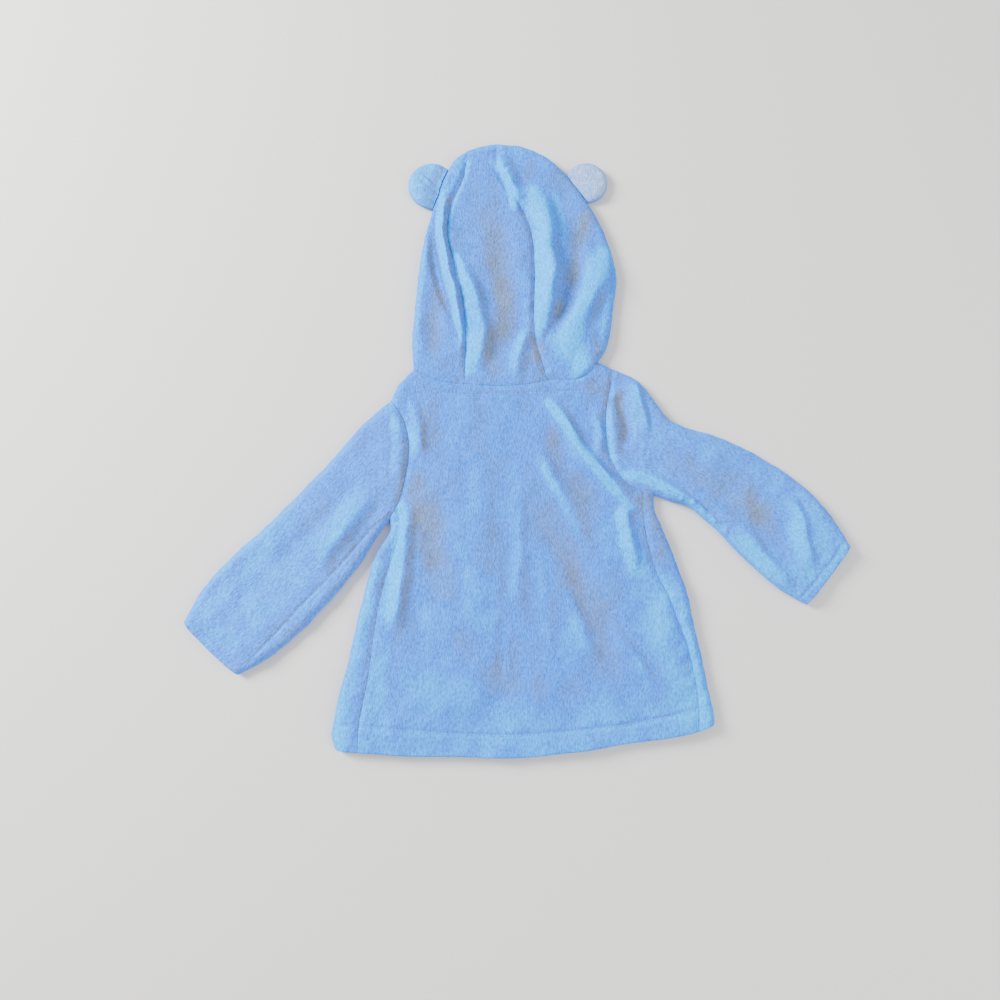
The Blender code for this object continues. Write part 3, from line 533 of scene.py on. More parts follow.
def coons(near, far, first, last):
    """Points over a four-sided patch: near and far run one way, first and last join their ends.

    Straight lines join near to far. The bend of the first and the last side fades out between them.
    """
    u = (lengths(near) / lengths(near)[-1] + lengths(far) / lengths(far)[-1]) / 2
    v = (lengths(first) / lengths(first)[-1] + lengths(last) / lengths(last)[-1]) / 2
    u, v = u[:, None, None], v[:, None]
    across = (1 - v) * near[:, None] + v * far[:, None]
    return across + (1 - u) ** BOW_FADE * bow(first, v) + u**BOW_FADE * bow(last, v)


def from_line(plan, line, reach):
    """Signed distance of each point from a polyline, left is positive, and its place along it.

    Each point takes the segment that it is nearest to. Points more than reach outside the polyline's
    box get that reach as their distance.
    """
    flat = plan.reshape(-1, 2)
    distance, place = np.full(len(flat), float(reach)), np.zeros(len(flat))
    low, high = line.min(axis=0) - reach, line.max(axis=0) + reach
    close = np.flatnonzero(((flat > low) & (flat < high)).all(axis=1))
    if len(close):
        start, way = line[:-1], np.diff(line, axis=0)
        size = np.linalg.norm(way, axis=1)
        offset = flat[close, None] - start
        t = np.clip((offset * way).sum(axis=2) / size**2, 0.0, 1.0)
        gap = offset - t[..., None] * way
        far = np.linalg.norm(gap, axis=2)
        best = far.argmin(axis=1)
        row = np.arange(len(close))
        side = way[best, 0] * offset[row, best, 1] - way[best, 1] * offset[row, best, 0]
        distance[close] = np.where(side < 0, -1.0, 1.0) * far[row, best]
        place[close] = lengths(line)[best] + t[row, best] * size[best]
    return distance.reshape(plan.shape[:-1]), place.reshape(plan.shape[:-1])


def smooth(t):
    """0 below 0, 1 above 1, and a smooth step between."""
    t = np.clip(t, 0.0, 1.0)
    return t * t * (3 - 2 * t)


def waves(plan, seed, count, shortest, longest, stretch_y=1.0):
    """A random gentle surface of unit depth: a sum of plane waves of random length and direction."""
    rng = np.random.default_rng(seed)
    size = rng.uniform(shortest, longest, count)
    angle = rng.uniform(0, 2 * np.pi, count)
    phase = rng.uniform(0, 2 * np.pi, count)
    pace = 2 * np.pi / size
    x, y = plan[..., 0, None], plan[..., 1, None] / stretch_y
    along = x * pace * np.cos(angle) + y * pace * np.sin(angle)
    return np.cos(along + phase).sum(axis=-1) * np.sqrt(2 / count)


def folds(plan):
    """How far the folds lift or sink the upper layer: each has a crest (1 - (d / width)^shape)^2."""
    lift = np.zeros(plan.shape[:-1])
    plan = plan + np.stack([waves(plan, *row) for row in WANDER_WAVES], axis=-1) * WANDER
    for left, right, height, shape, table in FOLDS:
        line = curve(table, LINE_STEP)
        offset, place = from_line(plan, line, max(left, right) * FOLD_SPREAD)
        width = np.where(offset > 0, left, right) * FOLD_SPREAD
        crest = np.clip(1 - (np.abs(offset) / width) ** shape, 0.0, 1.0) ** 2
        part = place / lengths(line)[-1]
        lift += FOLD_SCALE * height * crest * smooth(np.minimum(part, 1 - part) / FOLD_TAPER)
    return lift


def tone_and_painted_patches(plan):
    """The pile's random tone at each place, plus the painted highlight and painted shade of the patches,
    apart from the painted light that the cloth's slope gets.
    """
    tone_and_painted_light = NAP_RUFFLED * waves(plan, *NAP_WAVES)
    for half, amount, table in PAINTED_LIGHT_PATCHES:
        offset, _ = from_line(plan, curve(table, LINE_STEP), half)
        tone_and_painted_light += amount * smooth(PAINTED_PATCH_EDGE * (1 - np.abs(offset) / half))
    return tone_and_painted_light


def facing(plan, height):
    """How far a surface over a grid of places faces the key light, from -1 to 1, for its painted light.
    """
    (x_i, x_j), (y_i, y_j), (z_i, z_j) = (np.gradient(v) for v in (plan[..., 0], plan[..., 1], height))
    span = x_i * y_j - x_j * y_i
    slope_x, slope_y = z_i * y_j - z_j * y_i, x_i * z_j - x_j * z_i
    toward_light = -(slope_x * math.cos(PAINTED_LIGHT_FROM) + slope_y * math.sin(PAINTED_LIGHT_FROM)) * np.sign(span)
    return toward_light / np.sqrt(slope_x**2 + slope_y**2 + span**2 + WELD**2)


def seams_drawn(plan, seams, size):
    """How far the seams round a piece draw its cloth down: a soft valley with small puckers along it.

    Each seam comes with its depth, as a share of the deepest.
    """
    drop = np.zeros(plan.shape[:-1])
    reach = PUCKER_REACH * size.seam_width
    for number, (seam, share) in enumerate(seams):
        line = coarse(seam)
        offset, place = from_line(plan, line, reach)
        near = np.clip(1 - np.abs(offset) / size.seam_width, 0.0, 1.0)
        wide = np.clip(1 - np.abs(offset) / reach, 0.0, 1.0)
        pucker = waves(np.stack([place, 0 * place], axis=-1), PUCKER_SEED + number, *PUCKER_WAVES)
        inside = smooth(np.minimum(place, lengths(line)[-1] - place) / SEAM_END)
        depth = share * size.seam_depth * (1 - SEAM_FADE * (1 - inside))
        valley = depth * (VALLEY_ROUND * smooth(near) + (1 - VALLEY_ROUND) * near**3)
        drop = np.maximum(drop, valley) + size.pucker * pucker * wide**2 * (1 - near)
    return drop


def grooves(plan):
    """How deep the stitch lines and creases lie in the pile: each is deep * exp(-2 (d / half)^2)."""
    depth = np.zeros(plan.shape[:-1])
    for half, deep, table in GROOVES:
        offset, _ = from_line(plan, curve(table, LINE_STEP), GROOVE_REACH * half)
        depth = np.maximum(depth, deep * np.exp(-2 * (offset / half) ** 2))
    return depth


def upper_lift(plan, size):
    """The upper layer's height above its crown, without what its seams do."""
    unevenness = size.lumps * waves(plan, *LUMP_WAVES) + size.clumps * waves(plan, *CLUMP_WAVES)
    return folds(plan) - grooves(plan) + unevenness


def flat_patch(plan):
    """A patch of cloth that lies flat over a grid of places.

    A patch has five numbers a point: the place of its outer side, that of its inner side, and how far
    round the fold line it is, from 0 at the outline to pi / 2 where it lies flat.
    """
    return np.dstack([plan, plan, np.full(plan.shape[:2], np.pi / 2)])


class Sheet:
    """A patch of one layer with its heights: outer and inner points, and its painted light with random
    tone.
    """

    def __init__(self, patch, upper, size, seams=(), fold=FOLD_HEIGHT, crown=None, nap=0.0):
        outer, inner, rise = patch[..., :2], patch[..., 2:4], np.sin(patch[..., 4])
        self.upper, self.rise, self.tone_and_painted_light = upper, rise, np.zeros(rise.shape)
        if upper:
            crown = size.crown if crown is None else crown
            lift = upper_lift(outer, size) - seams_drawn(outer, seams, size)
            least = 2 * size.cloth + LEAST_AIR - crown
            lift = least + np.logaddexp(0.0, (lift - least) * STOP_SHARPNESS) / STOP_SHARPNESS
            top = fold + (crown - fold + lift) * rise
            # Painted light: flanks facing the key light and ridges get painted highlight, flanks facing
            # away and sunken places get painted shade, on top of the random tone and the painted
            # patches; an ear adds its own painted highlight or painted shade.
            toward_light = facing(outer, top)
            slope = PAINTED_HIGHLIGHT_SLOPE * np.maximum(toward_light, 0.0) + PAINTED_SHADE_SLOPE * np.minimum(toward_light, 0.0)
            unsloped_tone_and_painted_light = PAINTED_LIGHT_PER_MM * lift + tone_and_painted_patches(outer) + nap
            self.tone_and_painted_light = slope * rise**PAINTED_SLOPE_FADE + unsloped_tone_and_painted_light * rise
            bottom = top - size.cloth * rise
        else:
            top = fold - fold * rise
            bottom = fold - (fold - size.cloth) * rise
        self.outer = np.dstack([outer, top])
        self.inner = np.dstack([inner, bottom])

    def turn_up(self, cut_edge, depth, ply):
        """Adds the turned-up hem to the inner side, over its depth from the cut edge."""
        offset, _ = from_line(self.outer[..., :2], coarse(cut_edge), depth + TURN_UP_SLOPE)
        near = np.clip((depth - np.abs(offset)) / TURN_UP_SLOPE + 0.5, 0.0, 1.0)
        ply = ply * near * (self.rise > ALL_BUT_FLAT)
        self.inner[..., 2] += -ply if self.upper else ply
        return self


def turning(upper):
    """How far in a layer bends over at a fold line, and the angles round it, in radians."""
    if upper:
        return FOLD_REACH, np.radians(UPPER_TURN)
    return FOLD_HEIGHT, np.radians(LOWER_TURN)


def border(edge, first, last, upper, size):
    """The strip that turns over a fold line, with its first and last rays laid along two curves."""
    radius, turn = turning(upper)
    out = radius * (1 - np.cos(turn))
    into = size.cloth + (radius - size.cloth) * (1 - np.cos(turn))
    along, half = lengths(edge), len(edge) // 2
    pull = np.clip(1 - np.minimum(along, along[-1] - along) / (2 * FOLD_REACH), 0.0, 1.0)[:, None] ** 2
    ends = np.vstack([at_lengths(ray, [FOLD_HEIGHT]) for ray in (first, last)]) - edge[[0, -1]]
    ends /= np.linalg.norm(ends, axis=1)[:, None]
    steps = side_steps(edge) * (1 - pull) + np.repeat(ends, [half, len(edge) - half], axis=0) * pull
    steps /= np.linalg.norm(steps, axis=1)[:, None]
    sides = []
    for reach in (out, into):
        side = edge[:, None] + steps[:, None] * reach[None, :, None]
        for index, ray in ((0, first), (-1, last)):
            side[index, 1:] = at_lengths(ray, reach)[1:]
        sides.append(side)
    return np.dstack([*sides, np.broadcast_to(turn, sides[0].shape[:2])])


def fan(edge, first, last, far, upper, steps_across, size):
    """A patch from a fold line to an opposite line. first and last start at the fold line's ends."""
    strip = border(edge, first, last, upper, size)
    sides = [spaced(ray, steps_across, turning(upper)[0]) for ray in (first, last)]
    plan = coons(strip[:, -1, :2], far, *sides)
    return np.hstack([strip, flat_patch(plan[:, 1:])])


def tube_layer(low, high, armhole, cuff, upper, steps_across, size):
    """One layer of a sleeve, from its lower to its upper fold line."""
    radius, _ = turning(upper)
    low_strip = border(low, armhole, cuff, upper, size)
    high_strip = border(high[::-1], cuff[::-1], armhole[::-1], upper, size)[::-1]
    sides = [spaced(line, steps_across, radius, radius) for line in (armhole, cuff)]
    middle = coons(low_strip[:, -1, :2], high_strip[:, -1, :2], *sides)[:, 1:-1]
    return np.hstack([low_strip, flat_patch(middle), high_strip[:, ::-1]])


def faces_of(sheet, start):
    """Quads of a sheet's outer side, facing away from the cloth, as indices from start on."""
    rows, columns = sheet.outer.shape[:2]
    index = start + np.arange(rows * columns).reshape(rows, columns)
    quads = np.stack([index[:-1, :-1], index[1:, :-1], index[1:, 1:], index[:-1, 1:]], axis=-1)
    plan = sheet.outer[..., :2]
    one, two = plan[1:, 1:] - plan[:-1, :-1], plan[:-1, 1:] - plan[1:, :-1]
    area = (one[..., 0] * two[..., 1] - one[..., 1] * two[..., 0]).sum()
    quads = quads.reshape(-1, 4)
    return quads if (area > 0) == sheet.upper else quads[:, ::-1]


def welded(points, others):
    """The number that pairs of points share where both agree, and the first of each such pair."""
    keys = np.round(np.hstack([points, others]) / WELD).astype(np.int64)
    _, first, number = np.unique(keys, axis=0, return_index=True, return_inverse=True)
    return number.ravel(), first


def rim_of(quads, outer, inner, open_lines):
    """The wall round the cut edges of a shell, from the outer points to the inner ones.

    It is flat at a seam. Along an open edge it bulges out in a half circle, as a turned edge does.
    """
    count = len(outer)
    edges = np.vstack([quads[:, [k, (k + 1) % 4]] for k in range(4)])
    edges = edges[edges[:, 0] != edges[:, 1]]
    keys = edges[:, 0] * count + edges[:, 1]
    rim = edges[~np.isin(edges[:, 1] * count + edges[:, 0], keys)]
    is_open = np.zeros(count, bool)
    for line in open_lines:
        offset, _ = from_line(outer[:, :2], coarse(line), OPEN_WIDTH)
        is_open |= np.abs(offset) < OPEN_WIDTH
    through = outer - inner
    outward = np.zeros((count, 3))
    both = rim[is_open[rim[:, 0]] & is_open[rim[:, 1]]]
    side = np.cross(outer[both[:, 1]] - outer[both[:, 0]], through[both[:, 0]])
    for end in (0, 1):
        np.add.at(outward, both[:, end], side)
    size = np.linalg.norm(outward, axis=1)[:, None]
    outward = outward / np.maximum(size, WELD) * np.linalg.norm(through, axis=1)[:, None] / 2
    used = np.unique(rim)
    slot = np.full(count, -1)
    slot[used] = np.arange(len(used))
    middle = (outer[used] + inner[used]) / 2
    rings = [
        middle + through[used] / 2 * np.cos(angle) + outward[used] * np.sin(angle)
        for angle in np.linspace(0.0, np.pi, RIM_STEPS + 1)[1:-1]
    ]
    between = [2 * count + k * len(used) + slot[rim] for k in range(len(rings))]
    tracks = [rim, *between, rim + count]
    walls = [np.column_stack([a[:, 1], a[:, 0], b[:, 0], b[:, 1]]) for a, b in zip(tracks, tracks[1:])]
    return np.vstack(rings), np.vstack(walls), used


def make_shell(name, sheets, material, open_lines=()):
    """One closed wall of cloth from sheets that share their fold lines."""
    starts = np.cumsum([0] + [sheet.tone_and_painted_light.size for sheet in sheets])
    quads = np.vstack([faces_of(sheet, start) for sheet, start in zip(sheets, starts)])
    outer = np.vstack([sheet.outer.reshape(-1, 3) for sheet in sheets])
    inner = np.vstack([sheet.inner.reshape(-1, 3) for sheet in sheets])
    tone_and_painted_light = np.concatenate([sheet.tone_and_painted_light.ravel() for sheet in sheets])
    number, first = welded(outer, inner)
    quads = number[quads]
    outer, inner, tone_and_painted_light = outer[first], inner[first], tone_and_painted_light[first]
    rings, walls, used = rim_of(quads, outer, inner, open_lines)
    faces = np.vstack([quads, quads[:, ::-1] + len(outer), walls])
    tone_and_painted_light = np.concatenate([tone_and_painted_light, tone_and_painted_light, np.tile(tone_and_painted_light[used], RIM_STEPS - 1)])
    return add_piece(name + "_cloth", np.vstack([outer, inner, rings]), faces, material, tone_and_painted_light)


def add_piece(name, points, faces, material, tone_and_painted_light=None):
    """A smooth mesh object of quads, some with a doubled corner, that rides on the garment.

    The points are in mm, with their heights above the surface below.
    """
    points = points * MM
    points[:, 2] += SURFACE
    corners = np.sort(faces, axis=1)
    doubled = (np.diff(corners, axis=1) == 0).sum(axis=1)
    whole = faces[doubled == 0].tolist()
    thin = [list(dict.fromkeys(face)) for face in faces[doubled == 1].tolist()]
    mesh = bpy.data.meshes.new(name)
    mesh.from_pydata(points.tolist(), [], whole + thin)
    # Painted highlight and painted shade with random tone, per point, for the material to colour by
    if tone_and_painted_light is not None:
        attribute = mesh.attributes.new("tone_and_painted_light", "FLOAT", "POINT")
        attribute.data.foreach_set("value", tone_and_painted_light.astype(np.float32))
    mesh.materials.append(material)
    mesh.shade_smooth()
    mesh.update()
    piece = bpy.data.objects.new(name, mesh)
    bpy.context.collection.objects.link(piece)
    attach(piece, "root")
    return piece


def trimmed(table, side):
    """A seam's curve moved off the seam by half the gap, to its left for side 1, to its right for -1."""
    return moved(curve(table), side * SEAM_GAP / 2)


def trimmed_pair(left, right, side):
    """Two seams, both moved by half the gap towards the garment's middle for side 1, or away for -1."""
    return trimmed(left, side), trimmed(right, -side)


def share_fold(lower, upper):
    """Gives the lower layer's patch the very points of the upper one along their fold line."""
    lower[:, 0, :4] = upper[:, 0, :4]
    return lower


def wavered(edge):
    """How far a fold line wavers to its left at each of its points."""
    return waves(edge, *EDGE_WAVES) * WAVER


def fold_edge(points, count, first, last):
    """A fold line of the outline in graded steps, slightly wavering, its ends moved onto the seams."""
    edge = spaced(points, count)
    part = np.minimum(lengths(edge), lengths(edge)[-1] - lengths(edge))
    edge = edge + side_steps(edge) * (wavered(edge) * smooth(part / (2 * FOLD_REACH)))[:, None]
    edge[0], edge[-1] = first, last
    return edge


def make_sleeve(name, side, left_fold, right_fold, armhole, cuff, material, size):
    """A sleeve as a flattened tube, open at the armhole and the cuff, between its two fold lines."""
    seam = trimmed(armhole, side)[::-side]
    hem = moved(curve(cuff), -side * HEM_ROLL)[::-side]
    rows = steps_of(curve(right_fold))
    near = fold_edge(curve(left_fold), rows, seam[0], hem[0])
    far = fold_edge(curve(right_fold), rows, seam[-1], hem[-1])
    sheets = []
    for upper in (True, False):
        layer = tube_layer(near, far, seam, hem, upper, steps_of(seam), size)
        sheet = Sheet(layer, upper, size, [(seam, ARMHOLE_DRAWN)])
        sheets.append(sheet.turn_up(hem, CUFF_DEPTH, size.turn_up))
    return make_shell(name, sheets, material, [hem])


def flat_panel(bottom, top, left, right, upper, size, seams=()):
    """A sheet without a fold line, between four curves that share their corners."""
    return Sheet(flat_patch(coons(bottom, top, left, right)), upper, size, seams)


def shoulder_line_inset(distance, neck_below, arm_left):
    """The seam under the left shoulder, from neck to armhole, at a distance from the fold line."""
    line = moved(spaced(curve(SHOULDER_LEFT), SHOULDER_STEPS), distance)
    line[0] = at_lengths(neck_below, [distance])[0]
    line[-1] = at_lengths(arm_left, [distance])[0]
    return line


def body_lines(slope_side, side_side):
    """The curves round a body panel, its corners, and its seams with how far each draws the cloth in.

    The corners lie where armholes and sides, hem and sides, and the shoulder seam and its ends meet.
    """
    hem = moved(curve(HEM), HEM_ROLL)
    arms = trimmed_pair(ARMHOLE_LEFT, ARMHOLE_RIGHT, 1)
    sides = trimmed_pair(SIDE_SEAM_LEFT, SIDE_SEAM_RIGHT, side_side)
    neck, slope = trimmed(NECK_BACK, -1), trimmed(SHOULDER_SEAM, slope_side)
    pairs = [*zip(arms, sides), *((hem, side) for side in sides), (neck, slope), (arms[1], slope)]
    drawn = (NECK_DRAWN, SLOPE_DRAWN, ARMHOLE_DRAWN, ARMHOLE_DRAWN, SIDE_DRAWN, SIDE_DRAWN)
    seams = list(zip((neck, slope, *arms, *sides), drawn))
    return (hem, *arms, neck, slope, *sides), [meeting(*pair) for pair in pairs], seams


def make_back(material, size):
    """The back: the upper layer between the side seams, turned under along the left shoulder."""
    lines, corners, seams = body_lines(-1, 1)
    hem, arm_left, arm_right, neck, slope, side_left, side_right = lines
    corner_left, corner_right, hem_left, hem_right, neck_end, slope_end = corners
    neck_below = trimmed(NECK_FRONT, -1)
    shoulder = fold_edge(curve(SHOULDER_LEFT), SHOULDER_STEPS, neck[0], arm_left[0])
    over = border(shoulder, neck, arm_left, True, size)
    inset = shoulder_line_inset(SHOULDER_TURN, neck_below, arm_left)
    below = share_fold(border(shoulder, neck_below, arm_left, False, size), over)
    turned_under = Sheet(np.hstack([below, flat_patch(inset[:, None])]), False, size)
    shoulder_line = over[::-1, -1, :2]
    neck_line = stretch(neck, shoulder_line[-1], neck_end)
    top = joined(
        shoulder_line,
        spaced(neck_line, steps_of(neck_line)),
        spaced(stretch(slope, neck_end, slope_end), SLOPE_STEPS),
    )
    side_line = stretch(side_left, hem_left, corner_left)
    arm_line = stretch(arm_left, corner_left, shoulder_line[0])
    side_rows, arm_rows = steps_of(side_line), steps_of(arm_line)
    left = joined(spaced(side_line, side_rows), spaced(arm_line, arm_rows))
    right = joined(
        spaced(stretch(side_right, hem_right, corner_right), side_rows),
        spaced(stretch(arm_right, corner_right, slope_end), arm_rows),
    )
    bottom = spaced(stretch(hem, hem_left, hem_right), len(top) - 1)
    panel = flat_panel(bottom, top, left, right, True, size, seams)
    sheets = [panel.turn_up(hem, HEM_DEPTH, size.turn_up), Sheet(over, True, size, seams), turned_under]
    return make_shell("body_back", sheets, material, [hem])


def make_front(material, size):
    """The front: the flat lower layer, turned over both sides and the right shoulder to their seams."""
    lines, corners, seams = body_lines(1, -1)
    hem, arm_left, arm_right, neck, slope, side_left, side_right = lines
    corner_left, corner_right, hem_left, hem_right, neck_end, slope_end = corners
    neck_below = trimmed(NECK_FRONT, -1)
    edge_left = stretch(curve(BODY_EDGE_LEFT), hem[0], arm_left[-1])[::-1]
    edge_right = stretch(curve(BODY_EDGE_RIGHT), hem[-1], arm_right[-1])
    side_rows = steps_of(edge_left)
    flaps = (
        # fold line, steps, the ray at each of its ends, the seam opposite, the rays below
        (
            edge_left, side_rows,
            stretch(arm_left, arm_left[-1], corner_left), stretch(hem, hem[0], hem_left),
            stretch(side_left, corner_left, hem_left), (arm_left[::-1], hem),
        ),
        (
            edge_right, side_rows,
            stretch(hem, hem[-1], hem_right), stretch(arm_right, arm_right[-1], corner_right),
            stretch(side_right, hem_right, corner_right), (hem[::-1], arm_right[::-1]),
        ),
        (
            curve(SHOULDER_RIGHT)[::-1], SHOULDER_STEPS,
            stretch(arm_right, arm_right[0], slope_end), stretch(neck, neck[-1], neck_end),
            stretch(slope, slope_end, neck_end), (arm_right, neck_below[::-1]),
        ),
    )
    sheets, turned = [], []
    for line, rows, first, last, far, rays_below in flaps:
        edge = fold_edge(line, rows, first[0], last[0])
        over = fan(edge, first, last, spaced(far, rows), True, FLAP_STEPS, size)
        below = share_fold(border(edge, *rays_below, False, size), over)
        sheets += [Sheet(over, True, size, seams), Sheet(below, False, size)]
        turned.append(below[:, -1, :2])

    left_line, right_line, shoulder_line = turned[0][::-1], turned[1], turned[2]
    inset = shoulder_line_inset(SHOULDER_TURN + SEAM_GAP, neck_below, arm_left)[::-1]
    left = joined(left_line, spaced(stretch(arm_left, left_line[-1], inset[0]), UNDER_STEPS))
    arm_line = stretch(arm_right, right_line[-1], shoulder_line[0])
    right = joined(right_line, spaced(arm_line, UNDER_STEPS))
    neck_line = spaced(stretch(neck_below, inset[-1], shoulder_line[-1]), UNDER_STEPS)
    top = joined(inset, neck_line, shoulder_line[::-1])
    bottom = spaced(stretch(hem, left_line[0], right_line[0]), len(top) - 1)
    sheets.insert(0, flat_panel(bottom, top, left, right, False, size))
    for sheet in sheets:
        sheet.turn_up(hem, HEM_DEPTH, size.turn_up)
    return make_shell("body_front", sheets, material, [hem])


def make_hood_side(name, side, edge_table, seam_table, under_table, face_table, material, size):
    """A side panel of the hood: over the top layer to the gusset, and under it to the face's edge.

    Every curve starts at the fold line, the face's edge at its upper end. The left panel's fold line
    runs down from the gusset, the right one's up to it.
    """
    neck, neck_below = trimmed(NECK_BACK, 1)[::-side], trimmed(NECK_FRONT, 1)[::-side]
    seam, under_seam, face = trimmed(seam_table, side), trimmed(under_table, side), curve(face_table)
    low_corner, face_low = meeting(neck, seam), meeting(neck_below, face)
    bend = at_lengths(seam, [CROWN_RAY])[0]
    rays = stretch(seam, seam[0], bend), stretch(neck, neck[0], low_corner)
    under_rays = (
        stretch(under_seam, under_seam[0], face[0]), stretch(neck_below, neck_below[0], face_low),
    )
    far, under_far = stretch(seam, bend, low_corner)[::-side], stretch(face, face[0], face_low)[::-side]
    line = curve(edge_table)
    rows, across = steps_of(line), steps_of(rays[1])
    rays, under_rays = rays[::-side], under_rays[::-side]
    edge = fold_edge(line, rows, rays[0][0], rays[1][0])
    over = fan(edge, *rays, spaced(far, rows), True, across, size)
    under = fan(edge, *under_rays, spaced(under_far, rows), False, UNDER_STEPS, size)
    upper = Sheet(over, True, size, [(neck, NECK_DRAWN), (seam, GUSSET_DRAWN)])
    lower = Sheet(share_fold(under, over), False, size)
    return make_shell(name, [upper, lower], material, [face])


def make_gusset(material, size):
    """The middle panel of the hood, from the brow underneath over the crown to the neck seam."""
    neck = trimmed(NECK_BACK, 1)
    left, right = trimmed_pair(GUSSET_SEAM_LEFT, GUSSET_SEAM_RIGHT, 1)
    under_left, under_right = trimmed_pair(GUSSET_UNDER_LEFT, GUSSET_UNDER_RIGHT, 1)
    low_left, low_right = meeting(neck, left), meeting(neck, right)
    far = stretch(neck, low_right, low_left)
    columns, rows = steps_of(far), steps_of(left)
    edge = fold_edge(curve(HOOD_EDGE_TOP)[::-1], columns, right[0], left[0])
    rays = (stretch(right, right[0], low_right), stretch(left, left[0], low_left))
    over = fan(edge, *rays, spaced(far, columns), True, rows, size)
    ends = np.array([under_right[-1], under_left[-1]])
    brow, fine_brow = spaced(ends, columns), spaced(ends, columns * MEASURE_EVERY)
    under = share_fold(fan(edge, under_right, under_left, brow, False, UNDER_STEPS, size), over)
    seams = [(neck, NECK_DRAWN), (left, GUSSET_DRAWN), (right, GUSSET_DRAWN)]
    sheets = [Sheet(over, True, size, seams), Sheet(under, False, size)]
    return make_shell("hood_gusset", sheets, material, [fine_brow])


def to_hood(plan, root, away, outline):
    """Draws an ear's points near its root onto the hood's outline, and says how near they are to it.

    The nearness is 1 at the straight root and falls to 0 over EAR_ROOT_FADE.
    """
    side = np.array((-away[1], away[0]))
    line = curve(outline)
    line = line + side_steps(line) * wavered(line)[:, None] - root
    line = line[np.argsort(line @ side)]
    line = line[np.abs(line @ away) < 2 * EAR_ROOT_FADE]
    near = 1 - smooth((plan - root) @ away / EAR_ROOT_FADE)
    reach = np.interp((plan - root) @ side, line @ side, line @ away) + EAR_ROOT_GAP
    return plan + away * (reach * near)[..., None], near


def make_ear(name, x, y, radius, base, direction, outline, nap, material, size):
    """An ear: a back and a front disc with their rims together. Its root follows the hood's outline."""
    middle = np.array((x, y), float)
    away = np.array((np.cos(np.radians(direction)), np.sin(np.radians(direction))))
    root = middle - base * away
    half = np.degrees(np.arccos(-base / radius))
    round_it = np.radians(direction + np.linspace(-half, half, EAR_ROWS + 1))
    edge = middle + radius * np.column_stack([np.cos(round_it), np.sin(round_it)])
    ray = root - edge
    long = np.linalg.norm(ray, axis=1)[:, None]
    made = []
    for side, upper in (("_back", True), ("_front", False)):
        reach, angles = turning(upper)
        turn = np.r_[angles, np.full(EAR_STEPS, np.pi / 2)]
        bend = 1 - np.cos(angles)
        flat = reach + (long - reach) * np.linspace(0.0, 1.0, EAR_STEPS + 1)[1:]
        sides = []
        for start in (0.0, size.cloth):
            bent = np.broadcast_to(start + (reach - start) * bend, (len(edge), len(bend)))
            step = np.hstack([bent, flat]) / long
            plan = edge[:, None] + ray[:, None] * step[..., None]
            plan, near = to_hood(plan, root, away, outline)
            sides.append((plan, near))
        (outer, near), (inner, _) = sides
        gap = SEAM_GAP / 2 if upper else -SEAM_GAP / 2
        crown = EAR_CROWN - (EAR_CROWN - EAR_ROOT_CROWN) * near
        patch = np.dstack([outer, inner, np.broadcast_to(turn, near.shape)])
        # nap adds the ear's painted light: painted highlight above 0, painted shade below 0
        sheet = Sheet(patch, upper, size, fold=FOLD_HEIGHT + gap, crown=crown, nap=nap)
        made.append(make_shell(name + side, [sheet], material))
    return made


def make_stitches(name, table, material, size):
    """A row of short thread stitches along a line: each is a spindle that dips in at both ends.

    The spindle's radius is r * sqrt(1 - t^2) for t from -1 to 1 along it. Its middle line lies
    on the cloth, and goes down towards the ends with t^4.
    """
    line = curve(table)
    total = lengths(line)[-1]
    centres = np.arange(FOLD_REACH, total - FOLD_REACH, size.stitch + size.stitch_gap)
    t = np.linspace(-1.0, 1.0, STITCH_RINGS)
    marks = centres[:, None] + t * size.stitch / 2
    plan = at_lengths(line, marks.ravel()).reshape(*marks.shape, 2)
    across = at_lengths(moved(line, 1.0), marks.ravel()).reshape(*marks.shape, 2) - plan
    height = size.crown + upper_lift(plan, size) + size.thread * (STITCH_LIFT - STITCH_DIP * t**4)
    radius = size.thread / 2 * np.sqrt(np.clip(1 - t**2, 0.0, 1.0))
    angle = np.linspace(0.0, 2 * np.pi, STITCH_SIDES, endpoint=False)
    ring, rise = radius[:, None] * np.cos(angle), radius[:, None] * np.sin(angle)
    plan = plan[:, :, None] + across[:, :, None] * ring[None, ..., None]
    points = np.concatenate([plan, (height[..., None] + rise)[..., None]], axis=-1)
    number = np.arange(points[..., 0].size).reshape(points.shape[:3])
    for end in (0, -1):
        number[:, end] = number[:, end, :1]
    after = np.roll(number, -1, axis=2)
    quads = np.stack([number[:, :-1], after[:, :-1], after[:, 1:], number[:, 1:]], axis=-1)
    used, faces = np.unique(quads.reshape(-1, 4), return_inverse=True)
    return add_piece(name, points.reshape(-1, 3)[used], faces.reshape(-1, 4), material)


def set_node(node, values):
    """Sets a shader node's inputs, by name or number, and its other settings."""
    for key, value in values.items():
        if isinstance(key, int) or key in node.inputs:
            node.inputs[key].default_value = value
        else:
            setattr(node, key, value)


def shaded(name, nodes, links, surface):
    """A material from a table of nodes and a table of links.

    Each node has a label, its kind, its place in the editor and its values. Each link goes from a
    label's output to a label's input, and "shader" is the surface shader, with its own values.
    """
    material = bpy.data.materials.new(name)
    material.use_nodes = True
    tree = material.node_tree
    made = {"shader": tree.nodes["Principled BSDF"]}
    for label, kind, place, values in nodes:
        made[label] = tree.nodes.new("ShaderNode" + kind)
        made[label].location = place
        set_node(made[label], values)
    for source, output, target, entry in links:
        tree.links.new(made[source].outputs[output], made[target].inputs[entry])
    set_node(made["shader"], surface)
    return material


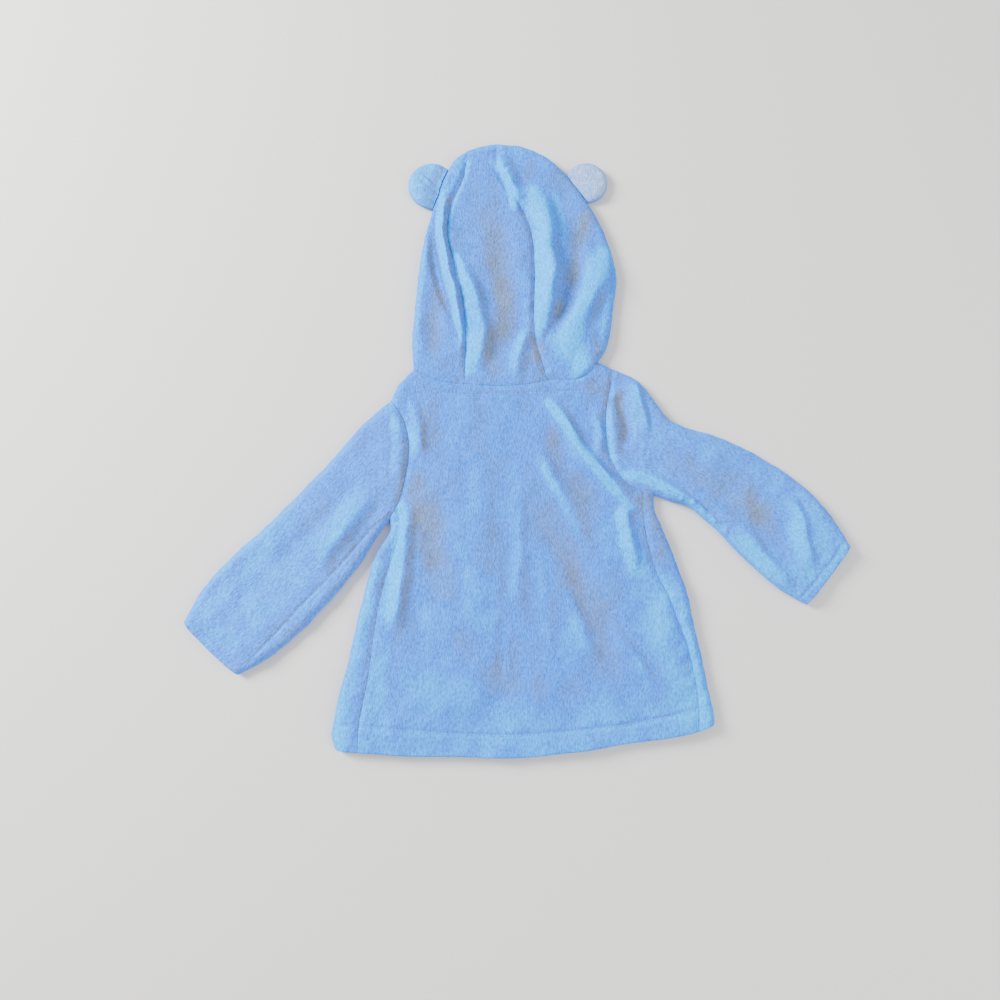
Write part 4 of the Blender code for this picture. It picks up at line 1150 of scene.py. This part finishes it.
def plush(name, colour, tone_and_painted_shade, tone_and_painted_highlight, angle=0.0):
    """Short velvety pile: nap streaks along one direction, clumps, painted grey shade and a soft sheen.

    A per-point attribute of painted light with random tone makes the pile greyer, as painted shade,
    below
    0, and lighter, as painted highlight, above 0.
    """
    nodes = (
        ("place", "TexCoord", (-1400, 0), {}),
        ("turn", "Mapping", (-1200, 0), {"Rotation": (0, 0, -angle)}),
        ("streaked", "Mapping", (-1000, -200), {"Scale": (1.0, 0.42, 1.0)}),
        ("nap", "TexNoise", (-800, -100), {"Scale": 720.0, "Detail": 2.0, "Roughness": 0.6}),
        ("tuft", "TexNoise", (-800, -350), {
            "Scale": 280.0, "Detail": 3.0, "Roughness": 0.7, "Distortion": 0.4,
        }),
        ("mottle", "TexNoise", (-800, 150), {"Scale": 75.0, "Detail": 4.0, "Roughness": 0.6}),
        # Painted highlight and painted shade with random tone, read from the mesh
        ("tone_and_painted_light", "Attribute", (-1000, 400), {"attribute_name": "tone_and_painted_light"}),
        ("low", "MapRange", (-800, 450), {"From Min": 0.0, "From Max": -1.5}),
        ("high", "MapRange", (-800, 700), {"From Min": 0.1, "From Max": 1.3}),
        ("blotch", "Math", (-700, 200), {"operation": "MULTIPLY", 1: 0.15}),
        ("speckle", "Math", (-600, 0), {"operation": "MULTIPLY_ADD", 1: 0.85}),
        ("grain", "MapRange", (-400, 0), {
            "From Min": 0.36, "From Max": 0.64, "To Min": 0.76, "To Max": 1.26,
        }),
        # Painted shade greys the colour below 0; painted highlight lightens it above 0
        ("greyer", "Mix", (-200, 300), {"data_type": "RGBA", "A": (*colour, 1.0), "B": (*tone_and_painted_shade, 1.0)}),
        ("shining", "Math", (-200, 600), {"operation": "MULTIPLY", 1: 0.9}),
        ("lighter", "Mix", (0, 300), {"data_type": "RGBA", "B": (*tone_and_painted_highlight, 1.0)}),
        ("grained", "Mix", (150, 300), {"data_type": "RGBA", "blend_type": "MULTIPLY", "Factor": 1.0}),
        ("coarse", "Bump", (-300, -350), {"Strength": 0.9, "Distance": 0.0011}),
        ("fine", "Bump", (-100, -250), {"Strength": 1.0, "Distance": 0.0013}),
    )
    links = (
        ("place", "Object", "turn", "Vector"), ("turn", "Vector", "streaked", "Vector"),
        ("streaked", "Vector", "nap", "Vector"), ("streaked", "Vector", "tuft", "Vector"),
        ("turn", "Vector", "mottle", "Vector"),
        ("tone_and_painted_light", "Fac", "low", "Value"), ("tone_and_painted_light", "Fac", "high", "Value"),
        ("mottle", "Fac", "blotch", 0), ("nap", "Fac", "speckle", 0), ("blotch", "Value", "speckle", 2),
        ("speckle", "Value", "grain", "Value"),
        ("low", "Result", "greyer", "Factor"), ("high", "Result", "shining", 0),
        ("shining", "Value", "lighter", "Factor"), ("greyer", "Result", "lighter", "A"),
        ("lighter", "Result", "grained", "A"), ("grain", "Result", "grained", "B"),
        ("tuft", "Fac", "coarse", "Height"), ("nap", "Fac", "fine", "Height"),
        ("coarse", "Normal", "fine", "Normal"),
        ("grained", "Result", "shader", "Base Color"), ("fine", "Normal", "shader", "Normal"),
    )
    surface = {
        "Roughness": 0.85, "Specular IOR Level": 0.04, "Sheen Weight": 0.6, "Sheen Roughness": 0.42,
        "Sheen Tint": (0.02, 0.40, 1.0, 1.0),
    }
    return shaded(name, nodes, links, surface)


def thread(name, colour):
    """Sewing thread: plain twisted fibre with a slight gloss."""
    nodes = (
        ("place", "TexCoord", (-700, 0), {}),
        ("twist", "TexNoise", (-500, 0), {"Scale": 1500.0, "Detail": 2.0}),
        ("shades", "Mix", (-300, 0), {
            "data_type": "RGBA", "A": (*[c * THREAD_SHADE for c in colour], 1.0), "B": (*colour, 1.0),
        }),
        ("bump", "Bump", (-300, -250), {"Strength": 0.4, "Distance": 0.0001}),
    )
    links = (
        ("place", "Object", "twist", "Vector"), ("twist", "Fac", "shades", "Factor"),
        ("twist", "Fac", "bump", "Height"),
        ("shades", "Result", "shader", "Base Color"), ("bump", "Normal", "shader", "Normal"),
    )
    return shaded(name, nodes, links, {"Roughness": 0.6})


def distance(name, description, default):
    """A length in metres that the user can change."""
    return bpy.props.FloatProperty(
        name=name, description=description, default=default, min=0.0, precision=5,
        subtype="DISTANCE", unit="LENGTH",
    )


def tint(name, description, default):
    """A colour that the user can change."""
    return bpy.props.FloatVectorProperty(
        name=name, description=description, default=default, min=0.0, max=1.0, size=3, subtype="COLOR"
    )


class PulloverSizes(bpy.types.PropertyGroup):
    """Sizes of the cloth and its sewing."""

    cloth: distance("Cloth", "Thickness of the cloth with its pile", 0.003)
    crown: distance("Crown", "Height of both layers lying on each other", 0.010)
    seam_depth: distance("Seam depth", "How far a seam draws the cloth in", 0.0024)
    seam_width: distance("Seam width", "How far from a seam the cloth is drawn in", 0.006)
    pucker: distance("Pucker", "Depth of the small puckers beside a seam", 0.0006)
    lumps: distance("Lumps", "Depth of the cloth's soft unevenness", 0.00055)
    clumps: distance("Clumps", "Depth of the clumps in the pile", 0.00008)
    turn_up: distance("Turn-up", "Extra thickness of the turned-up hems", 0.0007)
    stitch: distance("Stitch", "Length of one stitch", 0.0028)
    stitch_gap: distance("Stitch gap", "Gap between two stitches", 0.0009)
    thread: distance("Thread", "Thickness of the sewing thread", 0.0006)


class PulloverColours(bpy.types.PropertyGroup):
    """Colours of the cloth, the thread and the floor."""

    plush: tint("Plush", "Pile of the body, sleeves and hood", (0.024, 0.178, 0.71))
    # Painted light: slightly lighter and greyer than the plush; the sleeves' pile streaks also lie
    # another way
    sleeve: tint("Sleeves", "Pile of the sleeves, which lies another way", (0.036, 0.196, 0.74))
    # Painted shade: flanks facing away from the key light, sunken places and the greyer patches
    tone_and_painted_shade: tint("Hollows", "Pile in the hollows, away from the light", (0.125, 0.17, 0.27))
    # Painted shade of the ears
    ear_tone_and_painted_shade: tint("Ear hollows", "Pile of the ears, away from the light", (0.25, 0.36, 0.62))
    # Painted highlight: ridges, flanks facing the key light and the lighter patches
    tone_and_painted_highlight: tint("Shine", "Brushed pile on the flanks of the folds", (0.0, 0.35, 0.87))
    ear: tint("Ears", "Pile of the ears", (0.08, 0.24, 0.68))
    thread: tint("Thread", "Sewing thread", (0.10, 0.34, 0.85))
    floor: tint("Floor", "The surface below", (0.57, 0.555, 0.535))


def groups(context):
    """The scene's settings: sizes and colours."""
    return context.scene.pullover_sizes, context.scene.pullover_colours


def listed(group):
    """The names of a group's own settings."""
    return [name for name in group.bl_rna.properties.keys() if name not in ("rna_type", "name")]


def settings(context):
    """The sizes in millimetres, and the colours."""
    sizes, colours = groups(context)
    return SimpleNamespace(**{name: getattr(sizes, name) / MM for name in listed(sizes)}), colours


def finish_cloth(piece):
    """Hides the solid that the piece is made over: the node of the same name without "_cloth"."""
    node = piece.name.removesuffix("_cloth")
    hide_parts(node)


class PULLOVER_OT_body(bpy.types.Operator):
    """Makes the back and the front of the body"""

    bl_idname = "pullover.body"
    bl_label = "Body"

    def execute(self, context):
        size, colours = settings(context)
        cloth = plush("body_plush", colours.plush, colours.tone_and_painted_shade, colours.tone_and_painted_highlight)
        front = make_front(cloth, size)
        back = make_back(cloth, size)
        finish_cloth(front)
        finish_cloth(back)
        return {"FINISHED"}


class PULLOVER_OT_sleeves(bpy.types.Operator):
    """Makes both sleeves as flattened tubes"""

    bl_idname = "pullover.sleeves"
    bl_label = "Sleeves"

    def execute(self, context):
        size, colours = settings(context)
        for name, *shape, nap in SLEEVES:
            cloth = plush(name + "_plush", colours.sleeve, colours.tone_and_painted_shade, colours.tone_and_painted_highlight, nap)
            finish_cloth(make_sleeve(name, *shape, cloth, size))
        return {"FINISHED"}


class PULLOVER_OT_hood(bpy.types.Operator):
    """Makes the hood's two side panels and its gusset"""

    bl_idname = "pullover.hood"
    bl_label = "Hood"

    def execute(self, context):
        size, colours = settings(context)
        cloth = plush("hood_plush", colours.plush, colours.tone_and_painted_shade, colours.tone_and_painted_highlight)
        left, right = [make_hood_side(*panel, cloth, size) for panel in HOOD_SIDES]
        for piece in (left, make_gusset(cloth, size), right):
            finish_cloth(piece)
        return {"FINISHED"}


class PULLOVER_OT_ears(bpy.types.Operator):
    """Makes both ears, each of a back and a front disc"""

    bl_idname = "pullover.ears"
    bl_label = "Ears"

    def execute(self, context):
        size, colours = settings(context)
        cloth = plush("ear_plush", colours.ear, colours.ear_tone_and_painted_shade, colours.tone_and_painted_highlight)
        for ear in EARS:
            back, front = make_ear(*ear, cloth, size)
            finish_cloth(front)
            finish_cloth(back)
        return {"FINISHED"}


class PULLOVER_OT_stitching(bpy.types.Operator):
    """Sews the topstitching under the neck seam and round the hem and cuffs"""

    bl_idname = "pullover.stitching"
    bl_label = "Stitching"

    def execute(self, context):
        size, colours = settings(context)
        fibre = thread("sewing_thread", colours.thread)
        for name, groove in STITCHED:
            make_stitches(name, GROOVES[groove][-1], fibre, size)
        return {"FINISHED"}


class PULLOVER_OT_stage(bpy.types.Operator):
    """Sets up the floor, the soft lights and the camera"""

    bl_idname = "pullover.stage"
    bl_label = "Stage"

    def execute(self, context):
        _, colours = settings(context)
        bpy.ops.mesh.primitive_plane_add(size=FLOOR_WIDTH, location=(0, 0, SURFACE - FLOOR_GAP))
        floor = context.object
        floor.name = "floor"
        base = {"Base Color": (*colours.floor, 1.0), "Roughness": FLOOR_ROUGHNESS}
        floor.data.materials.append(shaded("floor", (), (), base))
        for name, place, wide, power in LAMPS:
            lamp = bpy.data.lights.new(name, "AREA")
            lamp.size, lamp.energy = wide, power
            light = bpy.data.objects.new(name, lamp)
            light.location = place
            light.rotation_euler = (-light.location).to_track_quat("-Z", "Y").to_euler()
            context.collection.objects.link(light)
        world = bpy.data.worlds.new("soft_sky")
        world.use_nodes = True
        set_node(world.node_tree.nodes["Background"], {"Color": SKY, "Strength": SKY_STRENGTH})
        context.scene.world = world
        lens = bpy.data.cameras.new("camera")
        lens.sensor_width = SENSOR_WIDTH
        lens.angle = CAMERA_FIELD
        camera = bpy.data.objects.new("camera", lens)
        x, y, z = CAMERA_TARGET
        back, up = CAMERA_DISTANCE * math.sin(CAMERA_TILT), CAMERA_DISTANCE * math.cos(CAMERA_TILT)
        camera.location = (x, y - back, z + up)
        camera.rotation_euler = (CAMERA_TILT, 0.0, 0.0)
        context.collection.objects.link(camera)
        context.scene.camera = camera
        return {"FINISHED"}


class PULLOVER_PT_panel(bpy.types.Panel):
    """Lists the garment's sizes, colours and pieces"""

    bl_label = "Plush pullover"
    bl_idname = "PULLOVER_PT_panel"
    bl_space_type = "VIEW_3D"
    bl_region_type = "UI"
    bl_category = "Pullover"

    def draw(self, context):
        for group in groups(context):
            box = self.layout.box()
            for name in listed(group):
                box.prop(group, name)
        for operator in PIECES:
            self.layout.operator(operator.bl_idname)


PIECES = (
    PULLOVER_OT_stage,
    PULLOVER_OT_body,
    PULLOVER_OT_sleeves,
    PULLOVER_OT_hood,
    PULLOVER_OT_ears,
    PULLOVER_OT_stitching,
)
CLASSES = (PulloverSizes, PulloverColours, *PIECES, PULLOVER_PT_panel)


def register():
    """Registers the classes and puts the sizes and colours on the scene."""
    for item in CLASSES:
        bpy.utils.register_class(item)
    bpy.types.Scene.pullover_sizes = bpy.props.PointerProperty(type=PulloverSizes)
    bpy.types.Scene.pullover_colours = bpy.props.PointerProperty(type=PulloverColours)


def unregister():
    """Takes everything that register added away again."""
    del bpy.types.Scene.pullover_colours
    del bpy.types.Scene.pullover_sizes
    for item in reversed(CLASSES):
        bpy.utils.unregister_class(item)


def main():
    """Makes the whole garment on its stage."""
    register()
    bpy.ops.pullover.stage()
    bpy.ops.pullover.body()
    bpy.ops.pullover.sleeves()
    bpy.ops.pullover.hood()
    bpy.ops.pullover.ears()
    bpy.ops.pullover.stitching()


if __name__ == "__main__":
    main()
